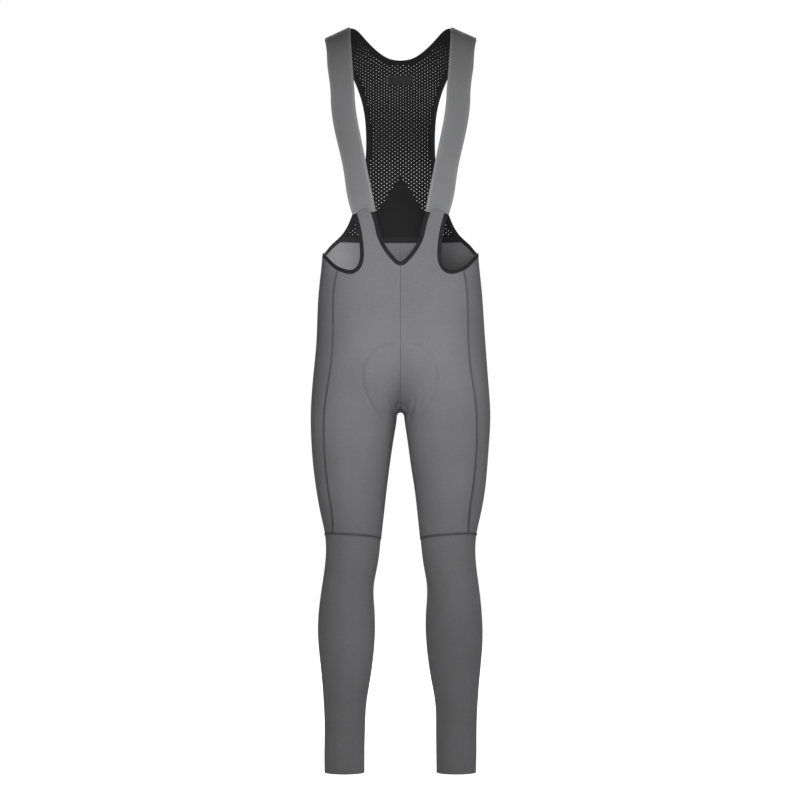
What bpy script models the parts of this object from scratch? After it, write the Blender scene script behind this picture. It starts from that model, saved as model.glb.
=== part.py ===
"""Thermal cycling bib tights in their hollow worn shape, one closed solid for each sewn piece.

Sizes are millimetres above the ankle hem, X to the wearer's left and Y to the back. The meshes are
written in metres, with the origin where the shoulders hold the straps.
"""

import bpy
import numpy as np
from mathutils import Vector
from mathutils.geometry import delaunay_2d_cdt

# Driving sizes, in millimetres.
ORIGIN_HEIGHT = 1420.0
CROTCH = 693.0
RISE = 165.0
SEAM_ROUNDING = 8.0
ROUNDING_ENDS = (860.0, 945.0)
CROTCH_ARCH = 4.6
SHOULDER_START = 1290.0
SHOULDER_TOP = 1475.5
SHOULDER_SLOPE = 0.47
KNEE_SEAM = 454.0
KNEE_FRONT_RISE = 7.0
KNEE_SIDE_RISE = 4.0
WAIST_SEAM = 1023.0

CLOTH = 1.5
SEAM_GAP = 0.3
TAPE_HEIGHT = 9.0
BINDING_WIDTH = 7.0
BINDING_THICKNESS = 2.4
STRAP_THICKNESS = 1.8
STRAP_LIFT = 0.6
ARM_END_BEHIND = 8.0
PAD_LIFT = 0.4
PAD_EDGE = 2.0
PAD_MIDDLE = 8.0
PAD_SLOPE = 40.0
PAD_RELIEF = 2.5
RELIEF_SLOPE = 14.0
RELIEF_FROM_CROTCH = (10.0, 50.0)
LABEL_SIZE = (52.0, 20.5)
LABEL_HEIGHT = 1340.0
LABEL_THICKNESS = 0.8
LABEL_GAP = 0.6

# Mesh spacing, in millimetres.
COARSE = 20.0
FINE = 10.0
FINE_REACH = 62.0
FINE_HEIGHT = 945.0
RAY_LENGTH = 330.0
HALVINGS = 36
PROBE = 0.2
LEG_RING = 25.0
STRAP_RING = 16.0
STRAP_COLUMNS = 5
PAD_STEP = 14.0
WAIST_STEP = 12.5
ARM_END_POINTS = 5

# The body under the cloth. Half width and centre are measured from the middle of the garment. The
# centre is where a section is deepest: the middle of a leg, moving to the middle of the waist.
# height, half width, centre, front, back, squareness
BODY = (
    (0, 145.7, 107.5, -31, 49, 2.10),
    (40, 146.2, 107.6, -31, 50, 2.10),
    (86, 146.7, 107.4, -33, 51, 2.10),
    (133, 148.7, 107.2, -36, 54, 2.10),
    (179, 151.8, 105.1, -40, 60, 2.10),
    (225, 156.3, 104.1, -44, 67, 2.10),
    (271, 158.5, 103.7, -47, 71, 2.10),
    (317, 155.7, 103.1, -50, 69, 2.10),
    (363, 150.4, 100.6, -54, 64, 2.10),
    (409, 145.3, 93.8, -59, 60, 2.10),
    (455, 145.5, 91.7, -63, 59, 2.10),
    (501, 154.2, 93.9, -69, 62, 2.10),
    (547, 162.3, 95.2, -75, 67, 2.10),
    (593, 167.6, 94.8, -80, 73, 2.12),
    (639, 171.3, 93.6, -86, 81, 2.14),
    (684, 172.8, 92.0, -91, 91, 2.16),
    (735, 170.2, 87.5, -95, 106, 2.20),
    (781, 166.2, 78.0, -98, 116, 2.25),
    (828, 162.3, 62.0, -100, 119, 2.30),
    (874, 160.0, 42.0, -101, 113, 2.35),
    (920, 157.1, 17.0, -100, 103, 2.38),
    (966, 152.3, 0.0, -98, 96, 2.40),
    (1010, 149.0, 0.0, -97, 92, 2.40),
    (1075, 150.0, 0.0, -98, 91, 2.40),
    (1150, 157.0, 0.0, -100, 94, 2.40),
    (1220, 168.0, 0.0, -101, 98, 2.40),
    (1290, 180.0, 0.0, -100, 100, 2.40),
    (1350, 187.0, 0.0, -100, 100, 2.40),
    (1420, 190.0, 0.0, -100, 100, 2.40),
    (1480, 190.0, 0.0, -100, 100, 2.40),
)

# Half of the gap between the legs.
# height, half gap
LEG_GAP = (
    (0, 69.3),
    (40, 69.0),
    (86, 68.0),
    (133, 65.7),
    (179, 58.4),
    (225, 51.8),
    (271, 48.9),
    (317, 50.5),
    (340, 51.8),
    (363, 50.7),
    (386, 46.4),
    (409, 42.2),
    (455, 37.5),
    (501, 32.9),
    (547, 27.4),
    (593, 20.8),
    (639, 14.1),
    (684, 7.2),
    (700, 6.2),
)

# Edges of the left half on the body's surface, each a smooth line through its rows. A face of
# "ridge" stands on the shoulder's top, and gives the distance behind it in place of the height.
# face, distance from the middle, height, mark
NECK_EDGE = (
    ("front", 0.0, 970.5, "neck_bottom"),
    ("front", 5.0, 971.6, ""),
    ("front", 15.7, 980.2, ""),
    ("front", 32.5, 1001.8, ""),
    ("front", 44.3, 1028.0, ""),
    ("front", 48.5, 1046.8, ""),
    ("front", 56.2, 1072.4, "neck_binding_end"),
    ("front", 59.2, 1082.0, "column_inner"),
)
SIDE_EDGE = (
    ("front", 86.1, 1080.2, "column_outer"),
    ("front", 82.6, 1066.6, "side_binding_start"),
    ("front", 77.1, 1047.4, ""),
    ("front", 72.0, 1019.2, ""),
    ("front", 70.0, 997.0, ""),
    ("front", 71.8, 976.5, ""),
    ("front", 77.6, 964.5, ""),
    ("front", 85.5, 957.8, ""),
    ("front", 97.0, 955.2, ""),
    ("front", 110.7, 958.7, ""),
    ("front", 119.3, 962.2, "side_seam_front"),
    ("front", 132.5, 972.0, ""),
    ("front", 145.2, 986.0, ""),
    ("back", 144.8, 996.0, ""),
    ("back", 134.0, 1008.5, "side_seam_back"),
    ("back", 118.6, 1023.0, "waist_seam"),
    ("back", 109.8, 1032.3, "mesh_bottom"),
    ("back", 99.8, 1047.0, ""),
    ("back", 85.0, 1082.0, ""),
    ("back", 71.5, 1122.0, ""),
    ("back", 62.0, 1175.0, ""),
    ("back", 60.2, 1228.0, ""),
    ("back", 64.7, 1281.0, ""),
    ("back", 78.9, 1329.0, ""),
    ("back", 99.0, 1370.0, ""),
    ("ridge", 128.0, 24.0, "side_binding_end"),
    ("ridge", 132.0, 8.0, "arm_outer"),
)
MESH_NECK = (
    ("back", 0.0, 1377.0, "mesh_neck"),
    ("back", 21.0, 1379.0, ""),
    ("back", 46.0, 1390.0, ""),
    ("back", 70.0, 1411.0, ""),
    ("ridge", 86.0, 35.0, ""),
    ("ridge", 95.0, 8.0, "arm_inner"),
)
SIDE_SEAM_FRONT = (
    ("front", 119.3, 962.2, "side_seam_front"),
    ("front", 124.0, 940.0, ""),
    ("front", 126.8, 909.0, ""),
    ("front", 127.5, 873.0, ""),
    ("front", 128.5, 825.0, ""),
    ("front", 133.0, 776.0, ""),
    ("front", 143.0, 703.0, ""),
    ("front", 145.2, 640.0, ""),
    ("front", 137.0, 546.0, ""),
    ("front", 129.5, 490.0, "above_knee"),
)
SIDE_SEAM_BACK = (
    ("back", 134.0, 1008.5, "side_seam_back"),
    ("back", 128.0, 975.0, ""),
    ("back", 127.0, 909.0, ""),
    ("back", 128.5, 825.0, ""),
    ("back", 138.0, 740.0, ""),
    ("back", 144.5, 640.0, ""),
    ("back", 137.0, 546.0, ""),
    ("back", 129.0, 490.0, "above_knee"),
)
PAD_FRONT = (
    ("front", 0.0, 823.0, "pad_front"),
    ("front", 24.0, 821.0, ""),
    ("front", 47.0, 812.5, ""),
    ("front", 63.0, 794.0, ""),
    ("front", 72.0, 769.0, ""),
    ("front", 69.5, 740.0, ""),
    ("front", 57.0, 711.0, ""),
    ("front", 42.0, 687.0, ""),
    ("front", 27.0, 667.0, ""),
)
PAD_BACK = (
    ("back", 35.0, 672.0, ""),
    ("back", 60.0, 700.0, ""),
    ("back", 83.0, 735.0, ""),
    ("back", 94.0, 773.0, ""),
    ("back", 85.0, 811.0, ""),
    ("back", 62.0, 839.0, ""),
    ("back", 32.0, 852.0, ""),
    ("back", 0.0, 855.0, "pad_back"),
)
PAD_INSEAM_HEIGHT = 652.0
KNEE_SEAM_FRONT_DISTANCE = 129.0
KNEE_SEAM_BACK_DISTANCE = 128.0

# Both edges of the left shoulder strap, from its front end over the shoulder to its back end.
# face, inner edge (distance, height), outer edge (distance, height)
STRAP = (
    ("front", 45.5, 1076.0, 89.7, 1066.3),
    ("front", 64.8, 1165.0, 107.4, 1152.0),
    ("front", 76.2, 1220.0, 120.5, 1213.0),
    ("front", 86.4, 1290.0, 131.3, 1286.0),
    ("front", 91.2, 1351.0, 137.4, 1345.0),
    ("ridge", 95.5, -50.0, 141.5, -48.0),
    ("ridge", 97.7, 0.0, 144.2, 0.0),
    ("ridge", 99.0, 22.0, 145.0, 22.0),
)

# Finishes: colour, roughness.
FINISHES = {
    "shell": ((0.19, 0.19, 0.195, 1.0), 0.82),
    "elastic": ((0.21, 0.21, 0.215, 1.0), 0.70),
    "dark": ((0.012, 0.012, 0.013, 1.0), 0.75),
    "pad": ((0.10, 0.10, 0.105, 1.0), 0.90),
}


def spline(places, values):
    """A natural cubic spline through the rows. Beyond its ends it keeps the end rows."""
    places = np.asarray(places, float)
    values = np.asarray(values, float).reshape(len(places), -1)
    steps = np.diff(places)
    count = len(places)
    system = np.eye(count)
    wanted = np.zeros_like(values)
    for i in range(1, count - 1):
        system[i, i - 1 : i + 2] = steps[i - 1], 2 * (steps[i - 1] + steps[i]), steps[i]
        slopes = (values[i + 1] - values[i]) / steps[i], (values[i] - values[i - 1]) / steps[i - 1]
        wanted[i] = 6 * (slopes[0] - slopes[1])
    bends = np.linalg.solve(system, wanted)

    def at(place):
        place = np.clip(np.asarray(place, float), places[0], places[-1])
        i = np.clip(np.searchsorted(places, place) - 1, 0, count - 2)
        step = steps[i][..., None]
        after = (place - places[i])[..., None]
        before = step - after
        curved = bends[i] * (before**3 / step - before * step)
        curved = curved + bends[i + 1] * (after**3 / step - after * step)
        return curved / 6 + (values[i] * before + values[i + 1] * after) / step

    return at


def ease(share):
    share = np.clip(share, 0.0, 1.0)
    return share * share * (3 - 2 * share)


def unit(vectors):
    return vectors / np.maximum(np.linalg.norm(vectors, axis=-1, keepdims=True), 1e-12)


BODY_AT = spline([row[0] for row in BODY], [row[1:] for row in BODY])
GAP_AT = spline([row[0] for row in LEG_GAP], [row[1] for row in LEG_GAP])


def shares(x, z, one_sided=False):
    """How far across and how far up the shoulder a point lies, as shares that are 1 on the surface."""
    half_width, centre, front, back, power = np.moveaxis(BODY_AT(z), -1, 0)
    centre = np.maximum(centre, 0.0)
    start, end = ROUNDING_ENDS
    ring = SEAM_ROUNDING * (1 - ease((z - start) / (end - start)))
    away = np.hypot(x, ring)
    if one_sided:
        away = np.where(x < 0, 2 * ring - away, away)
    outward = (away - centre) / (half_width - centre)
    gap = np.hypot(GAP_AT(z)[..., 0], ring)
    arch = 1 - np.exp(-np.maximum(CROTCH - z, 0.0) / CROTCH_ARCH)
    leg_reach = centre - ring - (gap - ring) * arch
    seam_share = np.clip((z - CROTCH) / RISE, 0.0, 1.0)
    opened = np.sqrt(2 * seam_share - seam_share**2)
    narrowing = np.maximum(1 - opened**power, 0.0) ** (1 / power)
    above_crotch = narrowing / np.maximum(centre - ring, 1)
    inward_scale = np.where(z < CROTCH, 1 / np.maximum(leg_reach, 1), above_crotch)
    across = np.where(outward > 0, outward, (centre - away) * inward_scale)
    top = SHOULDER_TOP - SHOULDER_SLOPE * np.abs(x)
    upward = np.maximum((z - SHOULDER_START) / (top - SHOULDER_START), 0.0)
    return across, upward, (front + back) / 2, (back - front) / 2, power


def field(points, one_sided=False):
    """Below 0 inside the body and above 0 outside it."""
    x, y, z = np.moveaxis(points, -1, 0)
    across, upward, middle, depth, power = shares(x, z, one_sided)
    deep = (np.abs(y - middle) / depth) ** power
    across, upward = np.maximum(across, 0.0) ** power, upward**power
    room = np.where((across > 1) & (upward > 1), -1.0, (1 - across) * (1 - upward))
    return deep - room


def normals(points):
    steps = PROBE * np.eye(3)
    slopes = [field(points + step) - field(points - step) for step in steps]
    return unit(np.stack(slopes, axis=-1))


def on_face(face, x, second):
    """The surface point at this distance from the middle. On the ridge the second value is the
    distance behind it, and elsewhere it is the height."""
    x, second = np.asarray(x, float), np.asarray(second, float)
    if face == "ridge":
        across, _, middle, depth, power = shares(x, np.full_like(x, SHOULDER_START + 100.0))
        deep = (np.abs(second) / depth) ** power
        upward = np.maximum(1 - deep / (1 - across**power), 0.0) ** (1 / power)
        top = SHOULDER_TOP - SHOULDER_SLOPE * x
        height = SHOULDER_START + upward * (top - SHOULDER_START)
        return np.stack([x, middle + second, height], axis=-1)
    across, upward, middle, depth, power = shares(x, second)
    room = np.maximum(1 - across**power, 0.0) * np.maximum(1 - upward**power, 0.0)
    side = -1.0 if face == "front" else 1.0
    return np.stack([x, middle + side * depth * room ** (1 / power), second], axis=-1)


def through(rows):
    """(points of the rows, marks of the rows)"""
    points = [on_face(face, distance, second) for face, distance, second, _ in rows]
    return np.array(points), [mark for *_, mark in rows]


def smooth_line(points, per_span=24):
    """A dense smooth line through the points, and the index of each point in it."""
    run = np.concatenate([[0], np.cumsum(np.linalg.norm(np.diff(points, axis=0), axis=1))])
    places = [np.linspace(a, b, per_span, endpoint=False) for a, b in zip(run[:-1], run[1:])]
    places = np.append(np.concatenate(places), run[-1])
    return spline(run, points)(places), [i * per_span for i in range(len(points))]


def spaced(line, spacing):
    """The line with points as near as it can to this spacing, keeping both ends."""
    run = np.concatenate([[0], np.cumsum(np.linalg.norm(np.diff(line, axis=0), axis=1))])
    parts = max(1, int(round(run[-1] / spacing)))
    wanted = np.linspace(0, run[-1], parts + 1)
    return np.stack([np.interp(wanted, run, line[:, k]) for k in range(3)], axis=1)


def joined(*lines):
    """The lines end to end, with each shared point once."""
    return np.concatenate([line[:-1] for line in lines[:-1]] + [lines[-1]])


class Chart:
    """Names a place on the surface by an angle round a line inside the body and a place along it,
    and lays the surface out flat as distance round it and place along it."""

    step = 10.0
    angle_count = 121

    def __init__(self, angles, places):
        self.angles = np.linspace(np.radians(angles[0]), np.radians(angles[1]), self.angle_count)
        self.places = np.arange(places[0], places[1] + self.step, self.step)
        angle, place = np.meshgrid(self.angles, self.places)
        lengths = np.linalg.norm(np.diff(self.surface(angle, place), axis=1), axis=2)
        run = np.concatenate([np.zeros((len(self.places), 1)), np.cumsum(lengths, axis=1)], axis=1)
        self.runs = run - run[:, [self.angle_count // 2]]

    def surface(self, angle, place):
        """The surface points that rays from the inner line reach."""
        start, first, second = self.frame(place)
        ray = np.sin(angle)[..., None] * first + np.cos(angle)[..., None] * second
        near = np.zeros_like(angle, dtype=float)
        far = np.full_like(near, RAY_LENGTH)
        for _ in range(HALVINGS):
            middle = (near + far) / 2
            outside = field(start + middle[..., None] * ray, self.one_sided) > 0
            far = np.where(outside, middle, far)
            near = np.where(outside, near, middle)
        return start + near[..., None] * ray

    def row(self, place):
        spot = np.clip((place - self.places[0]) / self.step, 0, len(self.places) - 1.001)
        i = spot.astype(int)
        part = (spot - i)[..., None]
        return self.runs[i] * (1 - part) + self.runs[i + 1] * part

    def flat(self, points):
        angle, place = self.coordinates(points)
        rows = self.row(place)
        round_it = [np.interp(a, self.angles, row) for a, row in zip(angle, rows)]
        return np.stack([round_it, place], axis=1)

    def lifted(self, flat):
        """Surface points from flat ones."""
        rows = self.row(flat[:, 1])
        angle = np.array([np.interp(u, row, self.angles) for u, row in zip(flat[:, 0], rows)])
        return self.surface(angle, flat[:, 1])


class LegChart(Chart):
    """Round the left leg and the left half of the waist. Its rings tilt with the crotch."""

    one_sided = True
    tilt_most = np.tan(np.radians(36.0))
    tilt_from, tilt_full, tilt_end = 590.0, 745.0, 950.0
    waist_centre = 76.0

    def __init__(self, angles, places, turn):
        self.turn = np.radians(turn)
        super().__init__(angles, places)

    def lean(self, place):
        up = ease((place - self.tilt_from) / (self.tilt_full - self.tilt_from))
        down = ease((self.tilt_end - place) / (self.tilt_end - self.tilt_full))
        return self.tilt_most * np.minimum(up, down)

    def centre(self, place):
        _, middle, front, back, _ = np.moveaxis(BODY_AT(place), -1, 0)
        return np.maximum(middle, self.waist_centre), (front + back) / 2

    def frame(self, place):
        place = np.asarray(place, float)
        x, y = self.centre(place)
        lean = self.lean(place)
        first = unit(np.stack([np.ones_like(lean), np.zeros_like(lean), lean], axis=-1))
        return np.stack([x, y, place], axis=-1), first, np.array([0.0, -1.0, 0.0])

    def coordinates(self, points):
        """The angle and the place of surface points."""
        low = np.full(len(points), self.places[0] - 200)
        high = np.full(len(points), self.places[-1] + 200)
        for _ in range(HALVINGS):
            place = (low + high) / 2
            above = points[:, 2] - place - (points[:, 0] - self.centre(place)[0]) * self.lean(place)
            low = np.where(above > 0, place, low)
            high = np.where(above > 0, high, place)
        start, first, second = self.frame(place)
        away = points - start
        angle = np.arctan2((away * first).sum(axis=1), (away * second).sum(axis=1))
        turned = (angle - self.turn + np.pi) % (2 * np.pi) - np.pi
        return self.turn + turned, place


class BackChart(Chart):
    """Up the back, over the shoulder's ridge and down the chest, on both halves."""

    one_sided = False
    radius = 105.0

    def frame(self, place):
        place = np.asarray(place, float)
        top = SHOULDER_START + np.pi * self.radius
        turn = np.clip((place - SHOULDER_START) / self.radius, 0, np.pi)
        height = np.minimum(place, SHOULDER_START) - np.maximum(place - top, 0)
        middle = BODY_AT(height)[..., 2:4].mean(axis=-1)
        start = np.stack([np.zeros_like(place), middle, height], axis=-1)
        second = np.stack([np.zeros_like(place), np.cos(turn), np.sin(turn)], axis=-1)
        return start, np.array([1.0, 0.0, 0.0]), second

    def coordinates(self, points):
        x, y, z = points.T
        middle = BODY_AT(np.minimum(z, SHOULDER_START))[..., 2:4].mean(axis=-1)
        above = np.maximum(z - SHOULDER_START, 0)
        turn = np.arctan2(above, y - middle)
        behind = y > middle
        low_place = np.where(behind, z, SHOULDER_START + np.pi * self.radius + SHOULDER_START - z)
        place = np.where(z > SHOULDER_START, SHOULDER_START + self.radius * turn, low_place)
        return np.arctan2(x, np.hypot(y - middle, above)), place


def inside(flat, outline):
    """Which flat points lie inside the outline."""
    found = np.zeros(len(flat), bool)
    for (ax, ay), (bx, by) in zip(outline, np.roll(outline, -1, axis=0)):
        spans = (ay > flat[:, 1]) != (by > flat[:, 1])
        rise = by - ay if by != ay else 1e-12
        found ^= spans & (flat[:, 0] < ax + (flat[:, 1] - ay) * (bx - ax) / rise)
    return found


def to_line(points, line):
    """Distance from each point to the open line."""
    nearest = np.full(len(points), np.inf)
    for a, b in zip(line[:-1], line[1:]):
        along = b - a
        share = np.clip((points - a) @ along / max(along @ along, 1e-12), 0, 1)
        gap = np.linalg.norm(points - a - share[:, None] * along, axis=1)
        nearest = np.minimum(nearest, gap)
    return nearest


def lattice(chart, outline, lines):
    """Flat points inside the outline in a triangular lattice, closer together where it is fine."""
    low, high = outline.min(axis=0), outline.max(axis=0)
    rise = FINE * np.sqrt(0.75)
    rows, columns = np.meshgrid(
        np.arange(1, (high[1] - low[1]) / rise), np.arange(0, (high[0] - low[0]) / FINE), indexing="ij"
    )
    rows, columns = rows.ravel(), columns.ravel()
    flat = np.stack([low[0] + FINE * (columns + 0.5 * (rows % 2)), low[1] + rise * rows], axis=1)
    coarse = (rows % 2 == 0) & ((columns + rows // 2) % 2 == 0)
    keep = inside(flat, outline)
    flat, coarse = flat[keep], coarse[keep]
    fine = is_fine(chart.lifted(flat))
    room = np.where(fine, FINE, COARSE) * 0.62
    clear = np.min([to_line(flat, line) for line in lines], axis=0) > room
    return flat[clear & (fine | coarse)]


def is_fine(points):
    near_crotch = np.linalg.norm(points - CROTCH_POINT, axis=1) < FINE_REACH
    on_bib = (points[:, 1] < 0) & (points[:, 2] > FINE_HEIGHT)
    return near_crotch | on_bib


def sheet_of(chart, outline, crease=None):
    """A triangulated piece of the surface: (points, triangles, which triangles the crease cuts off)."""
    flat = chart.flat(outline)
    count = len(outline)
    closed = np.concatenate([flat, flat[:1]])
    lines, edges, added = [closed], [], np.empty((0, 2))
    if crease is not None:
        first = np.linalg.norm(outline - crease[0], axis=1).argmin()
        last = np.linalg.norm(outline - crease[-1], axis=1).argmin()
        added = chart.flat(crease[1:-1])
        chain = [first, *range(count, count + len(added)), last]
        edges = [(int(a), int(b)) for a, b in zip(chain[:-1], chain[1:])]
        lines.append(np.concatenate([flat[[first]], added, flat[[last]]]))
    inner = lattice(chart, flat, lines)
    every = np.concatenate([flat, added, inner])
    around = [(i, (i + 1) % count) for i in range(count)]
    cut = delaunay_2d_cdt([Vector(p) for p in every], around + edges, [], 0, 1e-6, True)
    source = [ids[0] for ids in cut[3]]
    triangles = np.array([[source[i] for i in face] for face in cut[2]])
    triangles = triangles[inside(every[triangles].mean(axis=1), flat)]
    points = np.concatenate([outline, chart.lifted(every[count:])])
    cut_off = np.zeros(len(triangles), bool)
    if crease is not None:
        cut_off = inside(every[triangles].mean(axis=1), crease_loop(flat, lines[1], first, last))
    return points, facing_out(points, triangles), cut_off


def crease_loop(flat, line, first, last):
    """The outline of what the crease cuts off, which holds the crotch corner."""
    count = len(flat)
    ahead = [(last + i) % count for i in range((first - last) % count + 1)]
    behind = [(last - i) % count for i in range((last - first) % count + 1)]
    way = ahead if len(ahead) < len(behind) else behind
    return np.concatenate([line, flat[way[1:-1]]])


def facing_out(points, triangles):
    """The triangles, which all turn one way, turned so that they face away from the body."""
    corners = points[triangles]
    faces = np.cross(corners[:, 1] - corners[:, 0], corners[:, 2] - corners[:, 0])
    facing = (faces * normals(corners.mean(axis=1))).sum()
    return triangles[:, ::-1] if facing < 0 else triangles


def grid_triangles(rows, columns, around=False):
    """Triangles over a grid of points, closed round its columns where asked."""
    faces = []
    for i in range(rows - 1):
        for j in range(columns if around else columns - 1):
            a, b = i * columns + j, i * columns + (j + 1) % columns
            faces += [(a, b, b + columns), (a, b + columns, a + columns)]
    return np.array(faces)


def rim_edges(triangles):
    """The edges that only one triangle has, in that triangle's direction."""
    edges = {(a, b) for t in triangles.tolist() for a, b in zip(t, t[1:] + t[:1])}
    return [(a, b) for a, b in edges if (b, a) not in edges]


def drawn_in(points, triangles, facing):
    """The points with the sheet's rim moved in by half of a seam's gap."""
    rim = rim_edges(triangles)
    before = {b: a for a, b in rim}
    after = dict(rim)
    moved = points.copy()
    for i in after:
        sides = [unit(points[i] - points[before[i]]), unit(points[after[i]] - points[i])]
        inward = [unit(np.cross(facing[i], side)) for side in sides]
        mean = unit(inward[0] + inward[1])
        moved[i] += mean * (SEAM_GAP / 2) / max(mean @ inward[0], 0.4)
    return moved


def build(name, outer, inner, triangles, finish):
    """One closed solid between two sheets that share their triangles."""
    count = len(outer)
    faces = triangles.tolist() + (triangles[:, ::-1] + count).tolist()
    faces += [(b, a, a + count, b + count) for a, b in rim_edges(triangles)]
    points = np.concatenate([outer, inner])
    points = (points - np.array([0.0, 0.0, ORIGIN_HEIGHT])) / 1000
    mesh = bpy.data.meshes.new(name)
    mesh.from_pydata(points.tolist(), [], faces)
    mesh.shade_smooth()
    mesh.set_sharp_from_angle(angle=np.radians(50))
    mesh.materials.append(MATERIALS[finish])
    piece = bpy.data.objects.new(name, mesh)
    piece.parent = GARMENT
    bpy.context.collection.objects.link(piece)


def build_cloth(name, points, triangles, finish, lift=0.0, mirrored=False):
    """A wall of cloth under the surface points."""
    facing = normals(points)
    points = drawn_in(points, triangles, facing) + facing * np.reshape(lift, (-1, 1))
    inner = points - facing * CLOTH
    build_sided(name, points, inner, triangles, finish, mirrored)


def build_sided(name, outer, inner, triangles, finish, mirrored):
    if mirrored:
        flip = np.array([-1.0, 1.0, 1.0])
        outer, inner, triangles = outer * flip, inner * flip, triangles[:, ::-1]
    build(name, outer, inner, triangles, finish)


def build_strip(name, edge, finish, mirrored=False):
    """A binding along an edge of the cloth, beside it and a little thicker."""
    facing = normals(edge)
    aside = unit(np.cross(facing, unit(np.gradient(edge, axis=0))))
    near = edge + aside * SEAM_GAP / 2
    far = edge + aside * (SEAM_GAP / 2 + BINDING_WIDTH)
    sheet = np.concatenate([near, far])
    both = np.concatenate([facing, facing])
    triangles = grid_triangles(2, len(edge))
    corners = sheet[triangles[0]]
    if np.cross(corners[1] - corners[0], corners[2] - corners[0]) @ facing[0] < 0:
        triangles = triangles[:, ::-1]
    top = (BINDING_THICKNESS - CLOTH) / 2
    outer, inner = sheet + both * top, sheet + both * (top - BINDING_THICKNESS)
    build_sided(name, outer, inner, triangles, finish, mirrored)


def cut_line(rows, spacing):
    """The smooth line through the rows, as a dictionary of spaced stretches between marked rows."""
    points, marks = through(rows)
    dense, spots = smooth_line(points)
    marked = [(mark, spot) for mark, spot in zip(marks, spots) if mark]
    stretches = {}
    for (start, a), (end, b) in zip(marked[:-1], marked[1:]):
        stretches[start, end] = spaced(dense[a : b + 1], spacing)
    return stretches


def centre_line(side):
    """The seam in the middle plane, from where it stands upright down to the crotch."""
    turn = np.linspace(np.pi / 2, 0, 120)
    z = CROTCH + RISE * (1 - np.cos(turn))
    _, _, front, back, _ = np.moveaxis(BODY_AT(z), -1, 0)
    y = (front + back) / 2 + side * (back - front) / 2 * np.sin(turn)
    return np.stack([np.zeros_like(z), y, z], axis=1)


def graded(line, centre):
    """The line with fine spacing near the crotch and coarse spacing elsewhere."""
    away = np.linalg.norm(line - centre, axis=1)
    run = np.concatenate([[0], np.cumsum(np.linalg.norm(np.diff(line, axis=0), axis=1))])
    spacing = FINE + (COARSE - FINE) * ease((away - FINE_REACH / 2) / FINE_REACH)
    count = np.concatenate([[0], np.cumsum(np.diff(run) * 2 / (spacing[1:] + spacing[:-1]))])
    wanted = np.linspace(0, count[-1], max(1, int(round(count[-1]))) + 1)
    places = np.interp(wanted, count, run)
    return np.stack([np.interp(places, run, line[:, k]) for k in range(3)], axis=1)


def leg_point(turn, z):
    """A point of the left leg's section, by its angle from the front towards the outside."""
    half_width, centre, front, back, power = np.moveaxis(BODY_AT(z), -1, 0)
    across, deep = np.abs(np.sin(turn)) ** (2 / power), np.abs(np.cos(turn)) ** (2 / power)
    gap = np.hypot(GAP_AT(z)[..., 0], SEAM_ROUNDING)
    outward, inward = centre + (half_width - centre) * across, centre - (centre - gap) * across
    away = np.where(np.sin(turn) >= 0, outward, inward)
    x = np.sqrt(np.maximum(away**2 - SEAM_ROUNDING**2, 0))
    y = (front + back) / 2 - (back - front) / 2 * deep * np.sign(np.cos(turn))
    return np.stack([x, y, z], axis=-1)


def knee_height(turn):
    return KNEE_SEAM + KNEE_FRONT_RISE * np.cos(turn) + KNEE_SIDE_RISE * np.sin(turn)


def knee_turn(face, distance):
    """The angle at which the knee seam meets a side seam this far from the middle."""
    turns = np.linspace(0, np.pi / 2, 200)
    if face == "back":
        turns = np.pi - turns
    reach = leg_point(turns, knee_height(turns))[:, 0]
    return turns[np.abs(reach - distance).argmin()]


def knee_line(start, end):
    turns = np.linspace(start, end, 200)
    return spaced(leg_point(turns, knee_height(turns)), COARSE * 0.9)


def side_seam(rows, knee_end):
    """A side seam from the opening's edge down to the knee seam."""
    points, _ = through(rows)
    dense, _ = smooth_line(np.concatenate([points, [knee_end]]))
    face = rows[0][0]
    settled = on_face(face, dense[:, 0], dense[:, 2])
    settled[[0, -1]] = points[0], knee_end
    return spaced(settled, COARSE)


def settle(chart, line):
    """The line moved onto the surface."""
    return chart.surface(*chart.coordinates(line))


def relief(points, outline, height, slope):
    """How far a form inside the outline stands out, rising from its edge over the slope."""
    return height * ease(to_line(points, outline) / slope)


def pad_relief(points, outline):
    """How far the pad pushes the cloth out, fading towards the crotch."""
    start, end = RELIEF_FROM_CROTCH
    away = np.linalg.norm(points - CROTCH_POINT, axis=1)
    return relief(points, outline, PAD_RELIEF, RELIEF_SLOPE) * ease((away - start) / (end - start))


def merged(parts):
    """Sheets that share seam points, made one."""
    points = np.concatenate([part[0] for part in parts])
    offsets = np.cumsum([0] + [len(part[0]) for part in parts[:-1]])
    triangles = np.concatenate([part[1] + offset for part, offset in zip(parts, offsets)])
    _, first, index = np.unique(np.round(points, 3), axis=0, return_index=True, return_inverse=True)
    triangles = index.reshape(-1)[triangles]
    used, triangles = np.unique(triangles, return_inverse=True)
    return points[first][used], triangles.reshape(-1, 3)


def whole_centre_line(face, top, side):
    """The centre seam from the top of a panel down to the crotch."""
    heights = np.linspace(top, CROTCH + RISE, 60)
    upright = np.stack([on_face(face, 0.0, z) for z in heights])
    return joined(upright, centre_line(side))


def split_at(line, height):
    """The line as two graded stretches that meet at this height."""
    spot = np.abs(line[:, 2] - height).argmin()
    return graded(line[: spot + 1], CROTCH_POINT), graded(line[spot:], CROTCH_POINT)


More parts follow.
